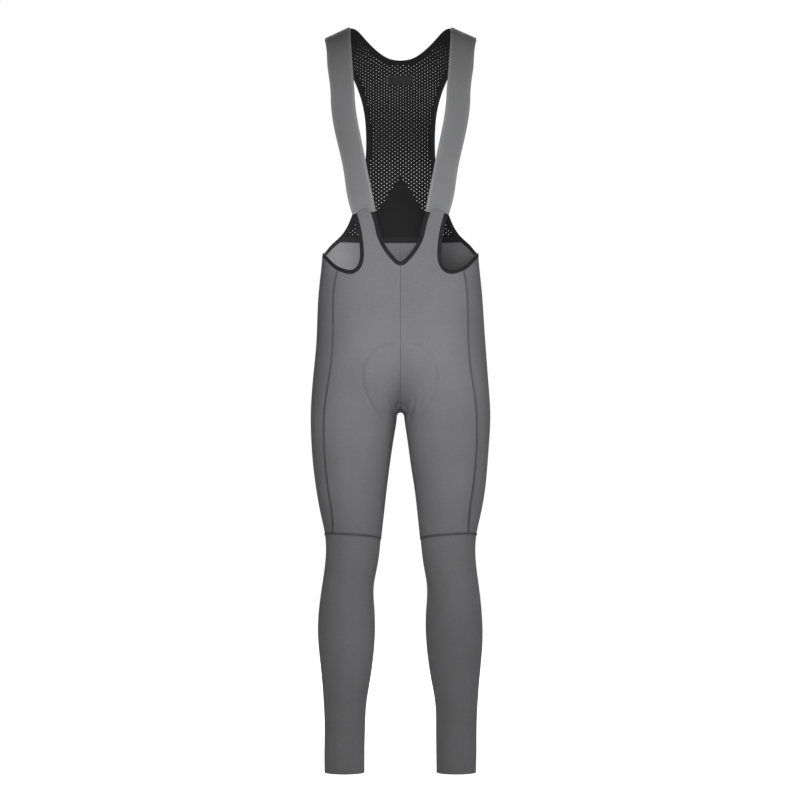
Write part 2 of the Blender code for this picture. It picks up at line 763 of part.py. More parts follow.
def inseam_line(knee_end):
    """The seam inside the left leg, from the crotch to the knee seam."""
    z = CROTCH - (CROTCH - knee_end[2]) * np.linspace(0, 1, 400) ** 2
    _, _, front, back, _ = np.moveaxis(BODY_AT(z), -1, 0)
    gap = np.hypot(GAP_AT(z)[..., 0], SEAM_ROUNDING)
    gap = SEAM_ROUNDING + (gap - SEAM_ROUNDING) * (1 - np.exp((z - CROTCH) / CROTCH_ARCH))
    x = np.sqrt(np.maximum(gap**2 - SEAM_ROUNDING**2, 0))
    line = np.stack([x, (front + back) / 2, z], axis=1)
    line[-1], line[0] = knee_end, CROTCH_POINT
    return line


def pad_lines():
    """The pad's edge on the front and on the back panel, one smooth line across the inseam."""
    rows = np.concatenate([through(PAD_FRONT)[0], [INSEAM[0][-1]], through(PAD_BACK)[0]])
    dense, spots = smooth_line(rows)
    cross = spots[len(PAD_FRONT)]
    front, back = spaced(dense[: cross + 1], PAD_STEP), spaced(dense[cross:], PAD_STEP)
    front[1:-1] = settle(FRONT_CHART, front[1:-1])
    back[1:-1] = settle(BACK_CHART, back[1:-1])
    front[0], back[-1] = CENTRE_FRONT[0][-1], CENTRE_BACK[0][-1]
    return front, back


def on_face_row(x, height):
    """Points across the back at one height."""
    row = on_face("back", np.abs(x), np.full(len(x), height))
    row[:, 0] = x
    return row


def front_outline():
    """Down the centre seam and the inseam, round the knee, up the side, the opening and the column."""
    outer_corner = EDGE["column_outer", "side_binding_start"][0]
    inner_corner = NECK["neck_binding_end", "column_inner"][-1]
    column_top = spaced(np.array([outer_corner, inner_corner]), FINE)
    column_top[1:-1] = settle(FRONT_CHART, column_top[1:-1])
    return joined(
        *CENTRE_FRONT,
        *INSEAM,
        KNEE_FRONT,
        SIDE_FRONT[::-1],
        EDGE["side_binding_start", "side_seam_front"][::-1],
        EDGE["column_outer", "side_binding_start"][::-1],
        column_top,
        NECK["neck_binding_end", "column_inner"][::-1],
        NECK["neck_bottom", "neck_binding_end"][::-1],
    )[:-1]


def side_outline():
    """Down the front seam, round the knee, up the back seam and along the opening."""
    opening = EDGE["side_seam_front", "side_seam_back"]
    return joined(SIDE_FRONT, KNEE_SIDE, SIDE_BACK[::-1], opening[::-1])[:-1]


def back_outline():
    """Down the centre seam and the inseam, round the knee, up the side and along the waist."""
    return joined(
        *CENTRE_BACK,
        *INSEAM,
        KNEE_BACK[::-1],
        SIDE_BACK[::-1],
        EDGE["side_seam_back", "waist_seam"],
        WAIST,
    )[:-1]


def make_material(name, colour, roughness):
    material = bpy.data.materials.new(name)
    material.use_nodes = True
    shader = material.node_tree.nodes["Principled BSDF"]
    shader.inputs["Base Color"].default_value = colour
    shader.inputs["Roughness"].default_value = roughness
    shader.inputs["Metallic"].default_value = 0.0
    return material


def make_panels():
    """The panels from the bib to the knee. Returns their crotch triangles, which the pad backs."""
    pad_parts = []
    for name, chart, outline, crease in PANELS:
        points, triangles, on_pad = sheet_of(chart, outline, crease)
        lift = np.zeros(len(points))
        if crease is not None:
            raised = np.unique(triangles[on_pad])
            lift[raised] = pad_relief(points[raised], PAD_OUTLINE)
            pad_parts.append((points, triangles[on_pad]))
        build_cloth(f"{name}_left", points, triangles, "shell", lift)
        build_cloth(f"{name}_right", points, triangles, "shell", lift, mirrored=True)
    return pad_parts


def make_seat_pad(pad_parts):
    """The pad: the crotch's own triangles on all four panels, moved in."""
    mirrored_parts = [(points * FLIP, triangles[:, ::-1]) for points, triangles in pad_parts]
    points, triangles = merged(pad_parts + mirrored_parts)
    facing = normals(points)
    outline = joined(PAD_OUTLINE, PAD_OUTLINE[::-1] * FLIP)
    raised = points + facing * pad_relief(points, outline)[:, None]
    thickness = PAD_EDGE + relief(points, outline, PAD_MIDDLE - PAD_EDGE, PAD_SLOPE)
    outer = raised - facing * (CLOTH + PAD_LIFT)
    build("seat_pad", outer, outer - facing * thickness[:, None], triangles, "pad")


def make_lower_legs():
    """Rings from the knee seam, levelling out to the ankle hem."""
    top = joined(KNEE_FRONT, KNEE_SIDE, KNEE_BACK)[:-1]
    stretches = (
        (-np.pi / 2, FRONT_TURN, KNEE_FRONT),
        (FRONT_TURN, BACK_TURN, KNEE_SIDE),
        (BACK_TURN, 1.5 * np.pi, KNEE_BACK),
    )
    turns = np.concatenate([np.linspace(a, b, len(line))[:-1] for a, b, line in stretches])
    count = int(round(KNEE_SEAM / LEG_RING)) + 1
    rings = [top]
    for drop in np.linspace(0, 1, count)[1:]:
        rings.append(leg_point(turns, top[:, 2] * (1 - drop)))
    points = np.concatenate(rings)
    triangles = facing_out(points, grid_triangles(count, len(top), around=True))
    build_cloth("lower_leg_left", points, triangles, "shell")
    build_cloth("lower_leg_right", points, triangles, "shell", mirrored=True)


def make_waist_tape():
    """The tape between the back panels and the perforated back, across the middle."""
    points = np.concatenate([TAPE_LOW, TAPE_HIGH])
    triangles = facing_out(points, grid_triangles(2, len(TAPE_LOW)))
    facing = normals(points)
    points = drawn_in(points, triangles, facing)
    top = (BINDING_THICKNESS - CLOTH) / 2
    build("waist_tape", points + facing * top, points + facing * (top - BINDING_THICKNESS), triangles, "dark")


def make_back_mesh():
    """The perforated back with its two arms, without its small holes."""
    arm_x = np.linspace(EDGE["side_binding_end", "arm_outer"][-1][0], MESH_NECK_LINE[-1][0], ARM_END_POINTS)
    arm_end = on_face("ridge", arm_x, np.full(len(arm_x), ARM_END_BEHIND))
    half = joined(
        EDGE["mesh_bottom", "side_binding_end"],
        EDGE["side_binding_end", "arm_outer"],
        arm_end,
        MESH_NECK_LINE[::-1],
    )
    outline = joined(TAPE_HIGH, half, (half * FLIP)[::-1])[:-1]
    points, triangles, _ = sheet_of(UPPER_CHART, outline)
    build_cloth("back_mesh", points, triangles, "dark")


def make_bindings():
    """Bindings round the neckline and both side openings, beside the cloth's edge."""
    side_line = joined(
        EDGE["side_binding_start", "side_seam_front"],
        EDGE["side_seam_front", "side_seam_back"],
        EDGE["side_seam_back", "waist_seam"],
        EDGE["waist_seam", "mesh_bottom"],
        EDGE["mesh_bottom", "side_binding_end"],
    )
    build_strip("side_binding_left", side_line, "dark")
    build_strip("side_binding_right", side_line, "dark", mirrored=True)
    half = NECK["neck_bottom", "neck_binding_end"]
    build_strip("neck_binding", joined((half * FLIP)[::-1], half), "dark")


def make_straps():
    """Shoulder straps: a band from the column's top over the shoulder, just off the surface."""
    inner_rows = np.array([on_face(face, a, b) for face, a, b, _, _ in STRAP])
    outer_rows = np.array([on_face(face, a, b) for face, _, _, a, b in STRAP])
    edges = [np.stack(UPPER_CHART.coordinates(rows), axis=1) for rows in (inner_rows, outer_rows)]
    run = np.concatenate([[0], np.cumsum(np.abs(np.diff(edges[0][:, 1])))])
    stations = np.linspace(0, run[-1], int(round(run[-1] / STRAP_RING)) + 1)
    inner_edge, outer_edge = (spline(run, rows)(stations) for rows in edges)
    across = np.linspace(0, 1, STRAP_COLUMNS)[:, None]
    places = inner_edge[:, None] * (1 - across) + outer_edge[:, None] * across
    points = UPPER_CHART.surface(places[..., 0], places[..., 1]).reshape(-1, 3)
    triangles = facing_out(points, grid_triangles(len(stations), len(across)))
    facing = normals(points)
    inner, outer = points + facing * STRAP_LIFT, points + facing * (STRAP_LIFT + STRAP_THICKNESS)
    build_sided("strap_left", outer, inner, triangles, "elastic", mirrored=False)
    build_sided("strap_right", outer, inner, triangles, "elastic", mirrored=True)


def make_label():
    """A small plain patch inside the back of the neck."""
    width, height = LABEL_SIZE
    across, up = np.linspace(-width / 2, width / 2, 7), np.linspace(-height / 2, height / 2, 3)
    columns, rows = np.meshgrid(across, up)
    points = on_face("back", np.abs(columns).ravel(), rows.ravel() + LABEL_HEIGHT)
    points[:, 0] = columns.ravel()
    triangles = facing_out(points, grid_triangles(*columns.shape))
    facing = normals(points)
    outer = points - facing * (CLOTH + LABEL_GAP)
    build("label", outer, outer - facing * LABEL_THICKNESS, triangles, "dark")


for old in list(bpy.data.objects):
    bpy.data.objects.remove(old)
MATERIALS = {name: make_material(name, *finish) for name, finish in FINISHES.items()}
GARMENT = bpy.data.objects.new("garment", None)
bpy.context.collection.objects.link(GARMENT)

# Charts of the surface: the front, side and back of a leg with its half of the waist, and the back.
FRONT_CHART = LegChart((-100, 100), (430, 1100), 0)
SIDE_CHART = LegChart((0, 180), (430, 1030), 90)
BACK_CHART = LegChart((80, 280), (430, 1050), 180)
UPPER_CHART = BackChart((-85, 85), (1000, 2000))

# Seams and edges of the left half, each made once and shared by the pieces on both sides of it.
FLIP = np.array([-1.0, 1.0, 1.0])
CROTCH_POINT = centre_line(-1)[-1]
NECK = cut_line(NECK_EDGE, FINE)
EDGE = cut_line(SIDE_EDGE, FINE)
MESH_NECK_LINE = cut_line(MESH_NECK, FINE)["mesh_neck", "arm_inner"]
neck_bottom = NECK["neck_bottom", "neck_binding_end"][0]
CENTRE_FRONT = split_at(whole_centre_line("front", neck_bottom[2], -1), PAD_FRONT[0][2])
CENTRE_BACK = split_at(whole_centre_line("back", WAIST_SEAM, 1), PAD_BACK[-1][2])
FRONT_TURN = knee_turn("front", KNEE_SEAM_FRONT_DISTANCE)
BACK_TURN = knee_turn("back", KNEE_SEAM_BACK_DISTANCE)
KNEE_FRONT = knee_line(-np.pi / 2, FRONT_TURN)
KNEE_SIDE = knee_line(FRONT_TURN, BACK_TURN)
KNEE_BACK = knee_line(BACK_TURN, 1.5 * np.pi)
INSEAM = split_at(inseam_line(KNEE_FRONT[0]), PAD_INSEAM_HEIGHT)
SIDE_FRONT = side_seam(SIDE_SEAM_FRONT, KNEE_SIDE[0])
SIDE_BACK = side_seam(SIDE_SEAM_BACK, KNEE_SIDE[-1])
PAD_FRONT_LINE, PAD_BACK_LINE = pad_lines()
PAD_OUTLINE = joined(PAD_FRONT_LINE, PAD_BACK_LINE)

# The waist seam and the tape's two edges.
WAIST_X = EDGE["side_seam_back", "waist_seam"][-1][0]
WAIST = on_face_row(np.linspace(WAIST_X, 0, int(round(WAIST_X / WAIST_STEP)) + 1), WAIST_SEAM)
MESH_CORNER = EDGE["waist_seam", "mesh_bottom"][-1]
TAPE_LOW = joined(WAIST, (WAIST * FLIP)[::-1])[::-1]
TAPE_HIGH = on_face_row(TAPE_LOW[:, 0] * MESH_CORNER[0] / WAIST_X, WAIST_SEAM + TAPE_HEIGHT)
TAPE_HIGH[0], TAPE_HIGH[-1] = MESH_CORNER * FLIP, MESH_CORNER

# Panels: name, chart, outline and the pad's edge across it.
PANELS = (
    ("front", FRONT_CHART, front_outline(), PAD_FRONT_LINE),
    ("side", SIDE_CHART, side_outline(), None),
    ("back", BACK_CHART, back_outline(), PAD_BACK_LINE),
)

make_seat_pad(make_panels())
make_lower_legs()
make_waist_tape()
make_back_mesh()
make_bindings()
make_straps()
make_label()
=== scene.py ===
"""Thermal cycling bib tights in their hollow worn shape, photographed from the front on white.

Sizes are millimetres above the ankle hem, X to the wearer's left and Y to the back. Each mesh is
written in metres, with the origin where the shoulders hold the straps.
"""

import math

import bpy
import numpy as np
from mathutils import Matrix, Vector
from mathutils.geometry import delaunay_2d_cdt
from mathutils.kdtree import KDTree


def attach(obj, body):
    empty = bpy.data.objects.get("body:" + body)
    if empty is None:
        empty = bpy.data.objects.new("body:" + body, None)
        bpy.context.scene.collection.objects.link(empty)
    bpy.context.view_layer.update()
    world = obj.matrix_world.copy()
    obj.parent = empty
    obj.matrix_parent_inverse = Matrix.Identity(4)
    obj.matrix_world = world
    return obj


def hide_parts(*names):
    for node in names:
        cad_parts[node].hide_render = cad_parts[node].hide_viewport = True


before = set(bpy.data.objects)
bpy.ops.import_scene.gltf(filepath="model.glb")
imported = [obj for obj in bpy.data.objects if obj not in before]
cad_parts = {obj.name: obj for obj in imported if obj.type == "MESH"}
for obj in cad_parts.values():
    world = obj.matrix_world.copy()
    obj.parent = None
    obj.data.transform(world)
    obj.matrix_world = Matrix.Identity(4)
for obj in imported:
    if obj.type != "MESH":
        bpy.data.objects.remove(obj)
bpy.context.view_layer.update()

# The part's own sizes, in millimetres.
ORIGIN_HEIGHT = 1420.0
CROTCH = 693.0
RISE = 165.0
SEAM_ROUNDING = 8.0
ROUNDING_ENDS = (860.0, 945.0)
CROTCH_ARCH = 2.2
SHOULDER_START = 1290.0
SHOULDER_TOP = 1475.5
SHOULDER_SLOPE = 0.47
KNEE_SEAM = 454.0
KNEE_FRONT_RISE = 7.0
KNEE_SIDE_RISE = 4.0
WAIST_SEAM = 1023.0
CLOTH = 1.5
SEAM_GAP = 0.3
TAPE_HEIGHT = 9.0
BINDING_WIDTH = 7.0
BINDING_THICKNESS = 2.4
STRAP_THICKNESS = 1.8
STRAP_LIFT = 0.6
STRAP_END_ARCH = 9.6
STRAP_END_SHARES = (0.04, 0.44, 0.60, 0.80)
STRAP_ARCH_REACH = 40.0
STRAP_COLUMNS = 25
STRAP_EDGE_SHARE = 0.8
ARM_END_BEHIND = 8.0
ARM_END_POINTS = 8
TAPE_ROWS = 5
TAPE_COLUMNS = 61
LEG_CLOTH_ROUND = 330.0
PAD_LIFT = 0.4
PAD_EDGE = 2.0
PAD_MIDDLE = 8.0
PAD_SLOPE = 40.0
PAD_RELIEF = 2.2
PAD_STEP = 6.0
PAD_GROOVE = 1.0
PAD_GROOVE_WIDTH = 2.0
PAD_SIDE_LINES = (-4.5, -2.0, 2.0, 4.5)
PAD_HEIGHTS = (620.0, 880.0)
RELIEF_FROM_CROTCH = (10.0, 50.0)
PAD_FADE_HEIGHTS = (650.0, 710.0)
PAD_CHANNEL = 2.6
PAD_CHANNEL_WIDTH = 3.5
PAD_CHANNEL_FROM_EDGE = 26.0
PAD_CHANNEL_FADE = 20.0
LABEL_SIZE = (52.0, 20.5)
LABEL_HEIGHT = 1340.0
LABEL_THICKNESS = 0.8
LABEL_GAP = 0.6
LABEL_COLUMNS = 19
LABEL_ROWS = 8

# Mesh spacing, in millimetres.
COARSE = 4.4
FINE = 2.2
FINE_REACH = 62.0
EDGE_STEP = 5.0
BAND_STEP = 4.0
LINE_STEP = 3.0
CREASE_STEP = 2.0
PAD_LINE_STEP = 1.5
LATTICE_ROOM = 0.62
SPAN_POINTS = 24
CENTRE_POINTS = 120
UPRIGHT_POINTS = 60
INSEAM_POINTS = 400
KNEE_POINTS = 200
SHARP_ANGLE = 45.0
RAY_LENGTH = 330.0
HALVINGS = 30
PROBE = 0.2

# Seams and stitches, in millimetres.
SEAM_BAND = 4.4
SEAM_BAND_HEIGHT = 0.55
# share of the half width, share of the height
SEAM_PROFILE = ((-1.0, -0.5), (-0.92, 0.35), (-0.5, 1.0), (0.5, 1.0), (0.92, 0.35), (1.0, -0.5))
STITCH_PITCH = 2.6
STITCH_HALF = 1.7
FINE_SEAM = 0.55
THREAD = 0.28
STRAP_THREAD = 1.8 * THREAD
STRAP_STITCH_STATIONS = (1, -2)
STITCH_INSET = 1.0
DASH_STEP = 3.8
DASH_SUNK = 1.6
EDGE_OVERLAP = 1.2
BINDING_SIDES = 14
BINDING_ROUNDNESS = 0.6
HOLE_LOW = 0.68
HOLE_HIGH = 0.44
HOLE_CHANGE = (1150.0, 1240.0)
HOLE_SIDES = 7
HOLE_COLUMN = 5.3
HOLE_EDGE = 3.2
HOLE_HEM = 7.5
HOLE_ROWS_START = 1038.0
LOW_PITCH = 7.4
HIGH_PITCH = 5.6
PITCH_CHANGE = (1240.0, 1310.0)
SOLID_APEX = 1151.0
SOLID_SLOPE = 0.676

# Slow unevenness of the knit: height of the wave, and its length along X, Y and Z.
WAVES = (
    (0.45, 210.0, 0.0, 330.0, 0.4),
    (0.35, 0.0, 160.0, -270.0, 1.9),
    (0.25, -95.0, 130.0, 150.0, 3.1),
)

# Creases, given one by one. Each fades towards both ends of its line.
CREASE_FADE = 0.7
CREASE_ENDS = (0.02, 0.98)
CREASE_REACH = 3.0
# halves, face, half width, depth (below 0 for a trough), line of (distance, height)
CREASES = (
    ("left", "front", 2.1, -5.0, ((28.5, 727), (28, 712), (25, 698), (18, 682), (14, 670))),
    ("left", "front", 3.4, 2.0, ((34, 726), (33.5, 710), (30.5, 695), (24, 678))),
    ("left", "front", 3.2, 1.2, ((22, 724), (21, 712), (18, 700))),
    ("right", "front", 2.4, -3.6, ((20.5, 729), (20.5, 713), (17.5, 701), (12, 690))),
    ("right", "front", 3.6, 1.6, ((27, 726), (26, 710), (22, 697), (16, 683))),
    ("both", "front", 4.0, -3.0, ((3, 712), (8, 703), (14, 696))),
    ("left", "front", 4.5, 1.1, ((2, 824), (12, 822), (23, 819))),
    ("both", "front", 14.0, -1.6, ((52, 700), (66, 715), (84, 724))),
    ("both", "front", 12.0, 0.9, ((44, 660), (60, 640), (82, 628))),
    ("both", "back", 9.0, -2.8, ((14, 686), (34, 676), (62, 672), (92, 682))),
    ("both", "back", 9.0, 1.8, ((16, 668), (38, 656), (66, 652), (96, 664))),
    ("both", "back", 8.0, -2.0, ((24, 646), (50, 632), (84, 636), (112, 652))),
    ("both", "back", 7.0, -1.6, ((5, 742), (11, 712), (20, 690))),
    ("both", "back", 8.0, -2.2, ((52, 508), (80, 500), (108, 502), (130, 512))),
    ("both", "back", 8.0, 1.5, ((56, 490), (84, 481), (110, 484), (128, 492))),
    ("both", "back", 8.0, -2.4, ((54, 470), (82, 464), (106, 468), (130, 476))),
    ("both", "back", 7.0, 1.3, ((60, 436), (84, 430), (108, 434), (126, 444))),
    ("both", "back", 7.0, -1.9, ((58, 420), (82, 414), (108, 418), (130, 428))),
    ("left", "front", 9.0, -1.1, ((60, 392), (76, 372), (84, 346))),
    ("right", "front", 9.0, -1.1, ((118, 400), (122, 372), (118, 344))),
    ("both", "back", 8.0, -1.2, ((84, 96), (104, 88), (128, 94))),
    ("both", "back", 8.0, 0.9, ((82, 76), (106, 68), (130, 76))),
    ("both", "front", 8.0, -1.1, ((88, 62), (108, 56), (126, 60))),
    ("both", "back", 10.0, -1.3, ((20, 962), (52, 950), (88, 948))),
    ("both", "back", 10.0, 0.9, ((24, 936), (58, 922), (94, 922))),
    ("left", "front", 11.0, -1.0, ((66, 920), (84, 896), (92, 866))),
    ("right", "front", 11.0, -1.0, ((72, 914), (80, 888), (80, 858))),
)

# The photograph's camera and the studio.
CAMERA_DISTANCE = 6.0
CAMERA_ASIDE = -0.001
CAMERA_HEIGHT = -0.704
CAMERA_LENS = 140.6
FLOOR_BELOW = 0.05
FLOOR_RADIUS = 5.0
WORLD_LIGHT = 0.1
FLOOR_LIGHT = 0.08
# name, place, aimed at, size across and up, watts
LIGHTS = (
    ("key", (-0.02, -0.72, -0.5), (0.0, 0.0, -0.58), (0.2, 0.2), 3.2),
    ("left", (-0.75, -0.95, -0.5), (0.0, 0.0, -0.58), (0.4, 0.4), 1.5),
    ("right", (1.1, -0.55, -0.5), (0.0, 0.0, -0.58), (0.4, 0.4), 3.8),
    ("top", (0.0, -1.0, 1.2), (0.0, 0.0, -0.05), (0.4, 0.4), 3.2),
    ("front", (0.3, -4.0, -0.95), (0.0, 0.0, -0.7), (1.4, 1.4), 22.0),
    ("back", (0.0, 3.2, 0.9), (0.0, 0.0, -0.5), (1.6, 1.6), 100.0),
    ("inner", (-0.06, -0.055, -0.5), (-0.14, 0.06, -0.44), (0.06, 0.04), 0.27),
)

# The body under the cloth. Half width and centre are measured from the middle of the garment. The
# centre is where a section is deepest: the middle of a leg, moving to the middle of the waist.
# height, half width, centre, front, back, squareness
BODY = (
    (0, 145.7, 107.5, -31, 49, 2.10),
    (40, 146.2, 107.6, -31, 50, 2.10),
    (86, 146.7, 107.4, -33, 51, 2.10),
    (133, 148.7, 107.2, -36, 54, 2.10),
    (179, 151.8, 105.1, -40, 60, 2.10),
    (225, 156.3, 104.1, -44, 67, 2.10),
    (271, 158.5, 103.7, -47, 71, 2.10),
    (317, 155.7, 103.1, -50, 69, 2.10),
    (363, 150.4, 100.6, -54, 64, 2.10),
    (409, 145.3, 93.8, -59, 60, 2.10),
    (455, 145.5, 91.7, -63, 59, 2.10),
    (501, 154.2, 93.9, -69, 62, 2.10),
    (547, 162.3, 95.2, -75, 67, 2.10),
    (593, 167.6, 94.8, -80, 73, 2.12),
    (639, 171.3, 93.6, -86, 81, 2.14),
    (684, 172.8, 92.0, -91, 91, 2.16),
    (735, 170.2, 87.5, -95, 106, 2.20),
    (781, 166.2, 78.0, -98, 116, 2.25),
    (828, 162.3, 62.0, -100, 119, 2.30),
    (874, 160.0, 42.0, -101, 113, 2.35),
    (920, 157.1, 17.0, -100, 103, 2.38),
    (966, 152.3, 0.0, -98, 96, 2.40),
    (1010, 149.0, 0.0, -97, 92, 2.40),
    (1075, 150.0, 0.0, -98, 91, 2.40),
    (1150, 157.0, 0.0, -100, 94, 2.40),
    (1220, 168.0, 0.0, -101, 98, 2.40),
    (1290, 180.0, 0.0, -100, 100, 2.40),
    (1350, 187.0, 0.0, -100, 100, 2.40),
    (1420, 190.0, 0.0, -100, 100, 2.40),
    (1480, 190.0, 0.0, -100, 100, 2.40),
)

# Half of the gap between the legs.
# height, half gap
LEG_GAP = (
    (0, 69.3),
    (40, 69.0),
    (86, 68.0),
    (133, 65.7),
    (179, 58.4),
    (225, 51.8),
    (271, 48.9),
    (317, 50.5),
    (340, 51.8),
    (363, 50.7),
    (386, 46.4),
    (409, 42.2),
    (455, 37.5),
    (501, 32.9),
    (547, 27.4),
    (593, 20.8),
    (639, 14.1),
    (684, 8.0),
    (700, 7.0),
)

# Edges of the left half on the body's surface, each a smooth line through its rows. A face of
# "ridge" stands on the shoulder's top, and gives the distance behind it in place of the height.
# face, distance from the middle, height, mark
NECK_EDGE = (
    ("front", 0.0, 970.5, "neck_bottom"),
    ("front", 5.0, 971.6, ""),
    ("front", 15.7, 980.2, ""),
    ("front", 32.5, 1001.8, ""),
    ("front", 44.3, 1028.0, ""),
    ("front", 48.5, 1046.8, ""),
    ("front", 56.2, 1072.4, "neck_binding_end"),
    ("front", 61.8, 1090.5, "column_inner"),
)
SIDE_EDGE = (
    ("front", 88.6, 1089.0, "column_outer"),
    ("front", 82.6, 1066.6, "side_binding_start"),
    ("front", 77.1, 1047.4, ""),
    ("front", 72.0, 1019.2, ""),
    ("front", 70.0, 997.0, ""),
    ("front", 71.8, 976.5, ""),
    ("front", 77.6, 964.5, ""),
    ("front", 85.5, 957.8, ""),
    ("front", 97.0, 955.2, ""),
    ("front", 110.7, 958.7, ""),
    ("front", 119.3, 962.2, "side_seam_front"),
    ("front", 132.5, 972.0, ""),
    ("front", 145.2, 986.0, ""),
    ("back", 144.8, 996.0, ""),
    ("back", 134.0, 1008.5, "side_seam_back"),
    ("back", 118.6, 1023.0, "waist_seam"),
    ("back", 109.8, 1032.3, "mesh_bottom"),
    ("back", 99.8, 1047.0, ""),
    ("back", 85.0, 1082.0, ""),
    ("back", 71.5, 1122.0, ""),
    ("back", 62.0, 1175.0, ""),
    ("back", 60.2, 1228.0, ""),
    ("back", 64.7, 1281.0, ""),
    ("back", 78.9, 1329.0, ""),
    ("back", 99.0, 1370.0, ""),
    ("ridge", 128.0, 24.0, "side_binding_end"),
    ("ridge", 132.0, 8.0, "arm_outer"),
)
MESH_NECK = (
    ("back", 0.0, 1378.0, "mesh_neck"),
    ("back", 19.0, 1380.5, ""),
    ("back", 43.5, 1394.0, ""),
    ("back", 63.0, 1411.0, ""),
    ("ridge", 84.5, 35.0, ""),
    ("ridge", 95.0, 8.0, "arm_inner"),
)

# The side seams and the pad's edge, each on the face in its name.
# distance from the middle, height
SIDE_SEAM_FRONT = (
    (119.3, 962.2),
    (124.0, 940.0),
    (126.8, 909.0),
    (127.5, 873.0),
    (128.5, 825.0),
    (133.0, 776.0),
    (143.0, 703.0),
    (145.2, 640.0),
    (137.0, 546.0),
    (129.5, 490.0),
)
SIDE_SEAM_BACK = (
    (134.0, 1008.5),
    (128.0, 975.0),
    (127.0, 909.0),
    (128.5, 825.0),
    (138.0, 740.0),
    (144.5, 640.0),
    (137.0, 546.0),
    (129.0, 490.0),
)
PAD_FRONT = (
    (0.0, 823.0),
    (24.0, 821.0),
    (47.0, 812.5),
    (63.0, 794.0),
    (72.0, 769.0),
    (69.5, 740.0),
    (57.0, 711.0),
    (42.0, 687.0),
    (27.0, 667.0),
)
PAD_BACK = (
    (35.0, 672.0),
    (60.0, 700.0),
    (83.0, 735.0),
    (94.0, 773.0),
    (85.0, 811.0),
    (62.0, 839.0),
    (32.0, 852.0),
    (0.0, 855.0),
)
PAD_INSEAM_HEIGHT = 652.0
KNEE_SEAM_FRONT_DISTANCE = 129.0
KNEE_SEAM_BACK_DISTANCE = 128.0

# Both edges of the left shoulder strap, from its front end over the shoulder to its back end.
# face, inner edge (distance, height), outer edge (distance, height)
STRAP = (
    ("front", 46.8, 1072.5, 91.0, 1067.3),
    ("front", 52.3, 1101.0, 98.4, 1093.6),
    ("front", 64.8, 1165.0, 107.4, 1152.0),
    ("front", 76.2, 1220.0, 120.5, 1213.0),
    ("front", 86.4, 1290.0, 131.3, 1286.0),
    ("front", 91.2, 1351.0, 137.4, 1345.0),
    ("ridge", 95.5, -50.0, 141.5, -48.0),
    ("ridge", 97.7, 0.0, 144.2, 0.0),
    ("ridge", 99.0, 22.0, 145.0, 22.0),
)


def spline(places, values):
    """A natural cubic spline through the rows. Beyond its ends it keeps the end rows."""
    places = np.asarray(places, float)
    values = np.asarray(values, float).reshape(len(places), -1)
    steps = np.diff(places)
    count = len(places)
    system = np.eye(count)
    wanted = np.zeros_like(values)
    for i in range(1, count - 1):
        system[i, i - 1 : i + 2] = steps[i - 1], 2 * (steps[i - 1] + steps[i]), steps[i]
        slopes = (values[i + 1] - values[i]) / steps[i], (values[i] - values[i - 1]) / steps[i - 1]
        wanted[i] = 6 * (slopes[0] - slopes[1])
    bends = np.linalg.solve(system, wanted)

    def at(place):
        place = np.clip(np.asarray(place, float), places[0], places[-1])
        i = np.clip(np.searchsorted(places, place) - 1, 0, count - 2)
        step = steps[i][..., None]
        after = (place - places[i])[..., None]
        before = step - after
        curved = bends[i] * (before**3 / step - before * step)
        curved = curved + bends[i + 1] * (after**3 / step - after * step)
        return curved / 6 + (values[i] * before + values[i + 1] * after) / step

    return at


def ease(share):
    share = np.clip(share, 0.0, 1.0)
    return share * share * (3 - 2 * share)


def eased(value, ends):
    """0 at the first end, 1 at the second, and a smooth change between."""
    start, end = ends
    return ease((value - start) / (end - start))


def unit(vectors):
    return vectors / np.maximum(np.linalg.norm(vectors, axis=-1, keepdims=True), 1e-12)


BODY_AT = spline([row[0] for row in BODY], [row[1:] for row in BODY])
GAP_AT = spline([row[0] for row in LEG_GAP], [row[1] for row in LEG_GAP])


def section(z):
    """The body's half width, centre, front, back and squareness at this height."""
    return np.moveaxis(BODY_AT(z), -1, 0)


def shares(x, z, one_sided=False):
    """How far across and how far up the shoulder a point lies, as shares that are 1 on the surface."""
    half_width, centre, front, back, power = section(z)
    centre = np.maximum(centre, 0.0)
    ring = SEAM_ROUNDING * (1 - eased(z, ROUNDING_ENDS))
    away = np.hypot(x, ring)
    if one_sided:
        away = np.where(x < 0, 2 * ring - away, away)
    outward = (away - centre) / (half_width - centre)
    gap = np.hypot(GAP_AT(z)[..., 0], ring)
    arch = 1 - np.exp(-np.maximum(CROTCH - z, 0.0) / CROTCH_ARCH)
    leg_reach = centre - ring - (gap - ring) * arch
    seam_share = np.clip((z - CROTCH) / RISE, 0.0, 1.0)
    opened = np.sqrt(2 * seam_share - seam_share**2)
    narrowing = np.maximum(1 - opened**power, 0.0) ** (1 / power)
    above_crotch = narrowing / np.maximum(centre - ring, 1)
    inward_scale = np.where(z < CROTCH, 1 / np.maximum(leg_reach, 1), above_crotch)
    across = np.where(outward > 0, outward, (centre - away) * inward_scale)
    top = SHOULDER_TOP - SHOULDER_SLOPE * np.abs(x)
    upward = np.maximum((z - SHOULDER_START) / (top - SHOULDER_START), 0.0)
    return across, upward, (front + back) / 2, (back - front) / 2, power


def field(points, one_sided=False):
    """Below 0 inside the body and above 0 outside it."""
    x, y, z = np.moveaxis(points, -1, 0)
    across, upward, middle, depth, power = shares(x, z, one_sided)
    deep = (np.abs(y - middle) / depth) ** power
    across, upward = np.maximum(across, 0.0) ** power, upward**power
    room = np.where((across > 1) & (upward > 1), -1.0, (1 - across) * (1 - upward))
    return deep - room


def normals(points):
    steps = PROBE * np.eye(3)
    slopes = [field(points + step) - field(points - step) for step in steps]
    return unit(np.stack(slopes, axis=-1))


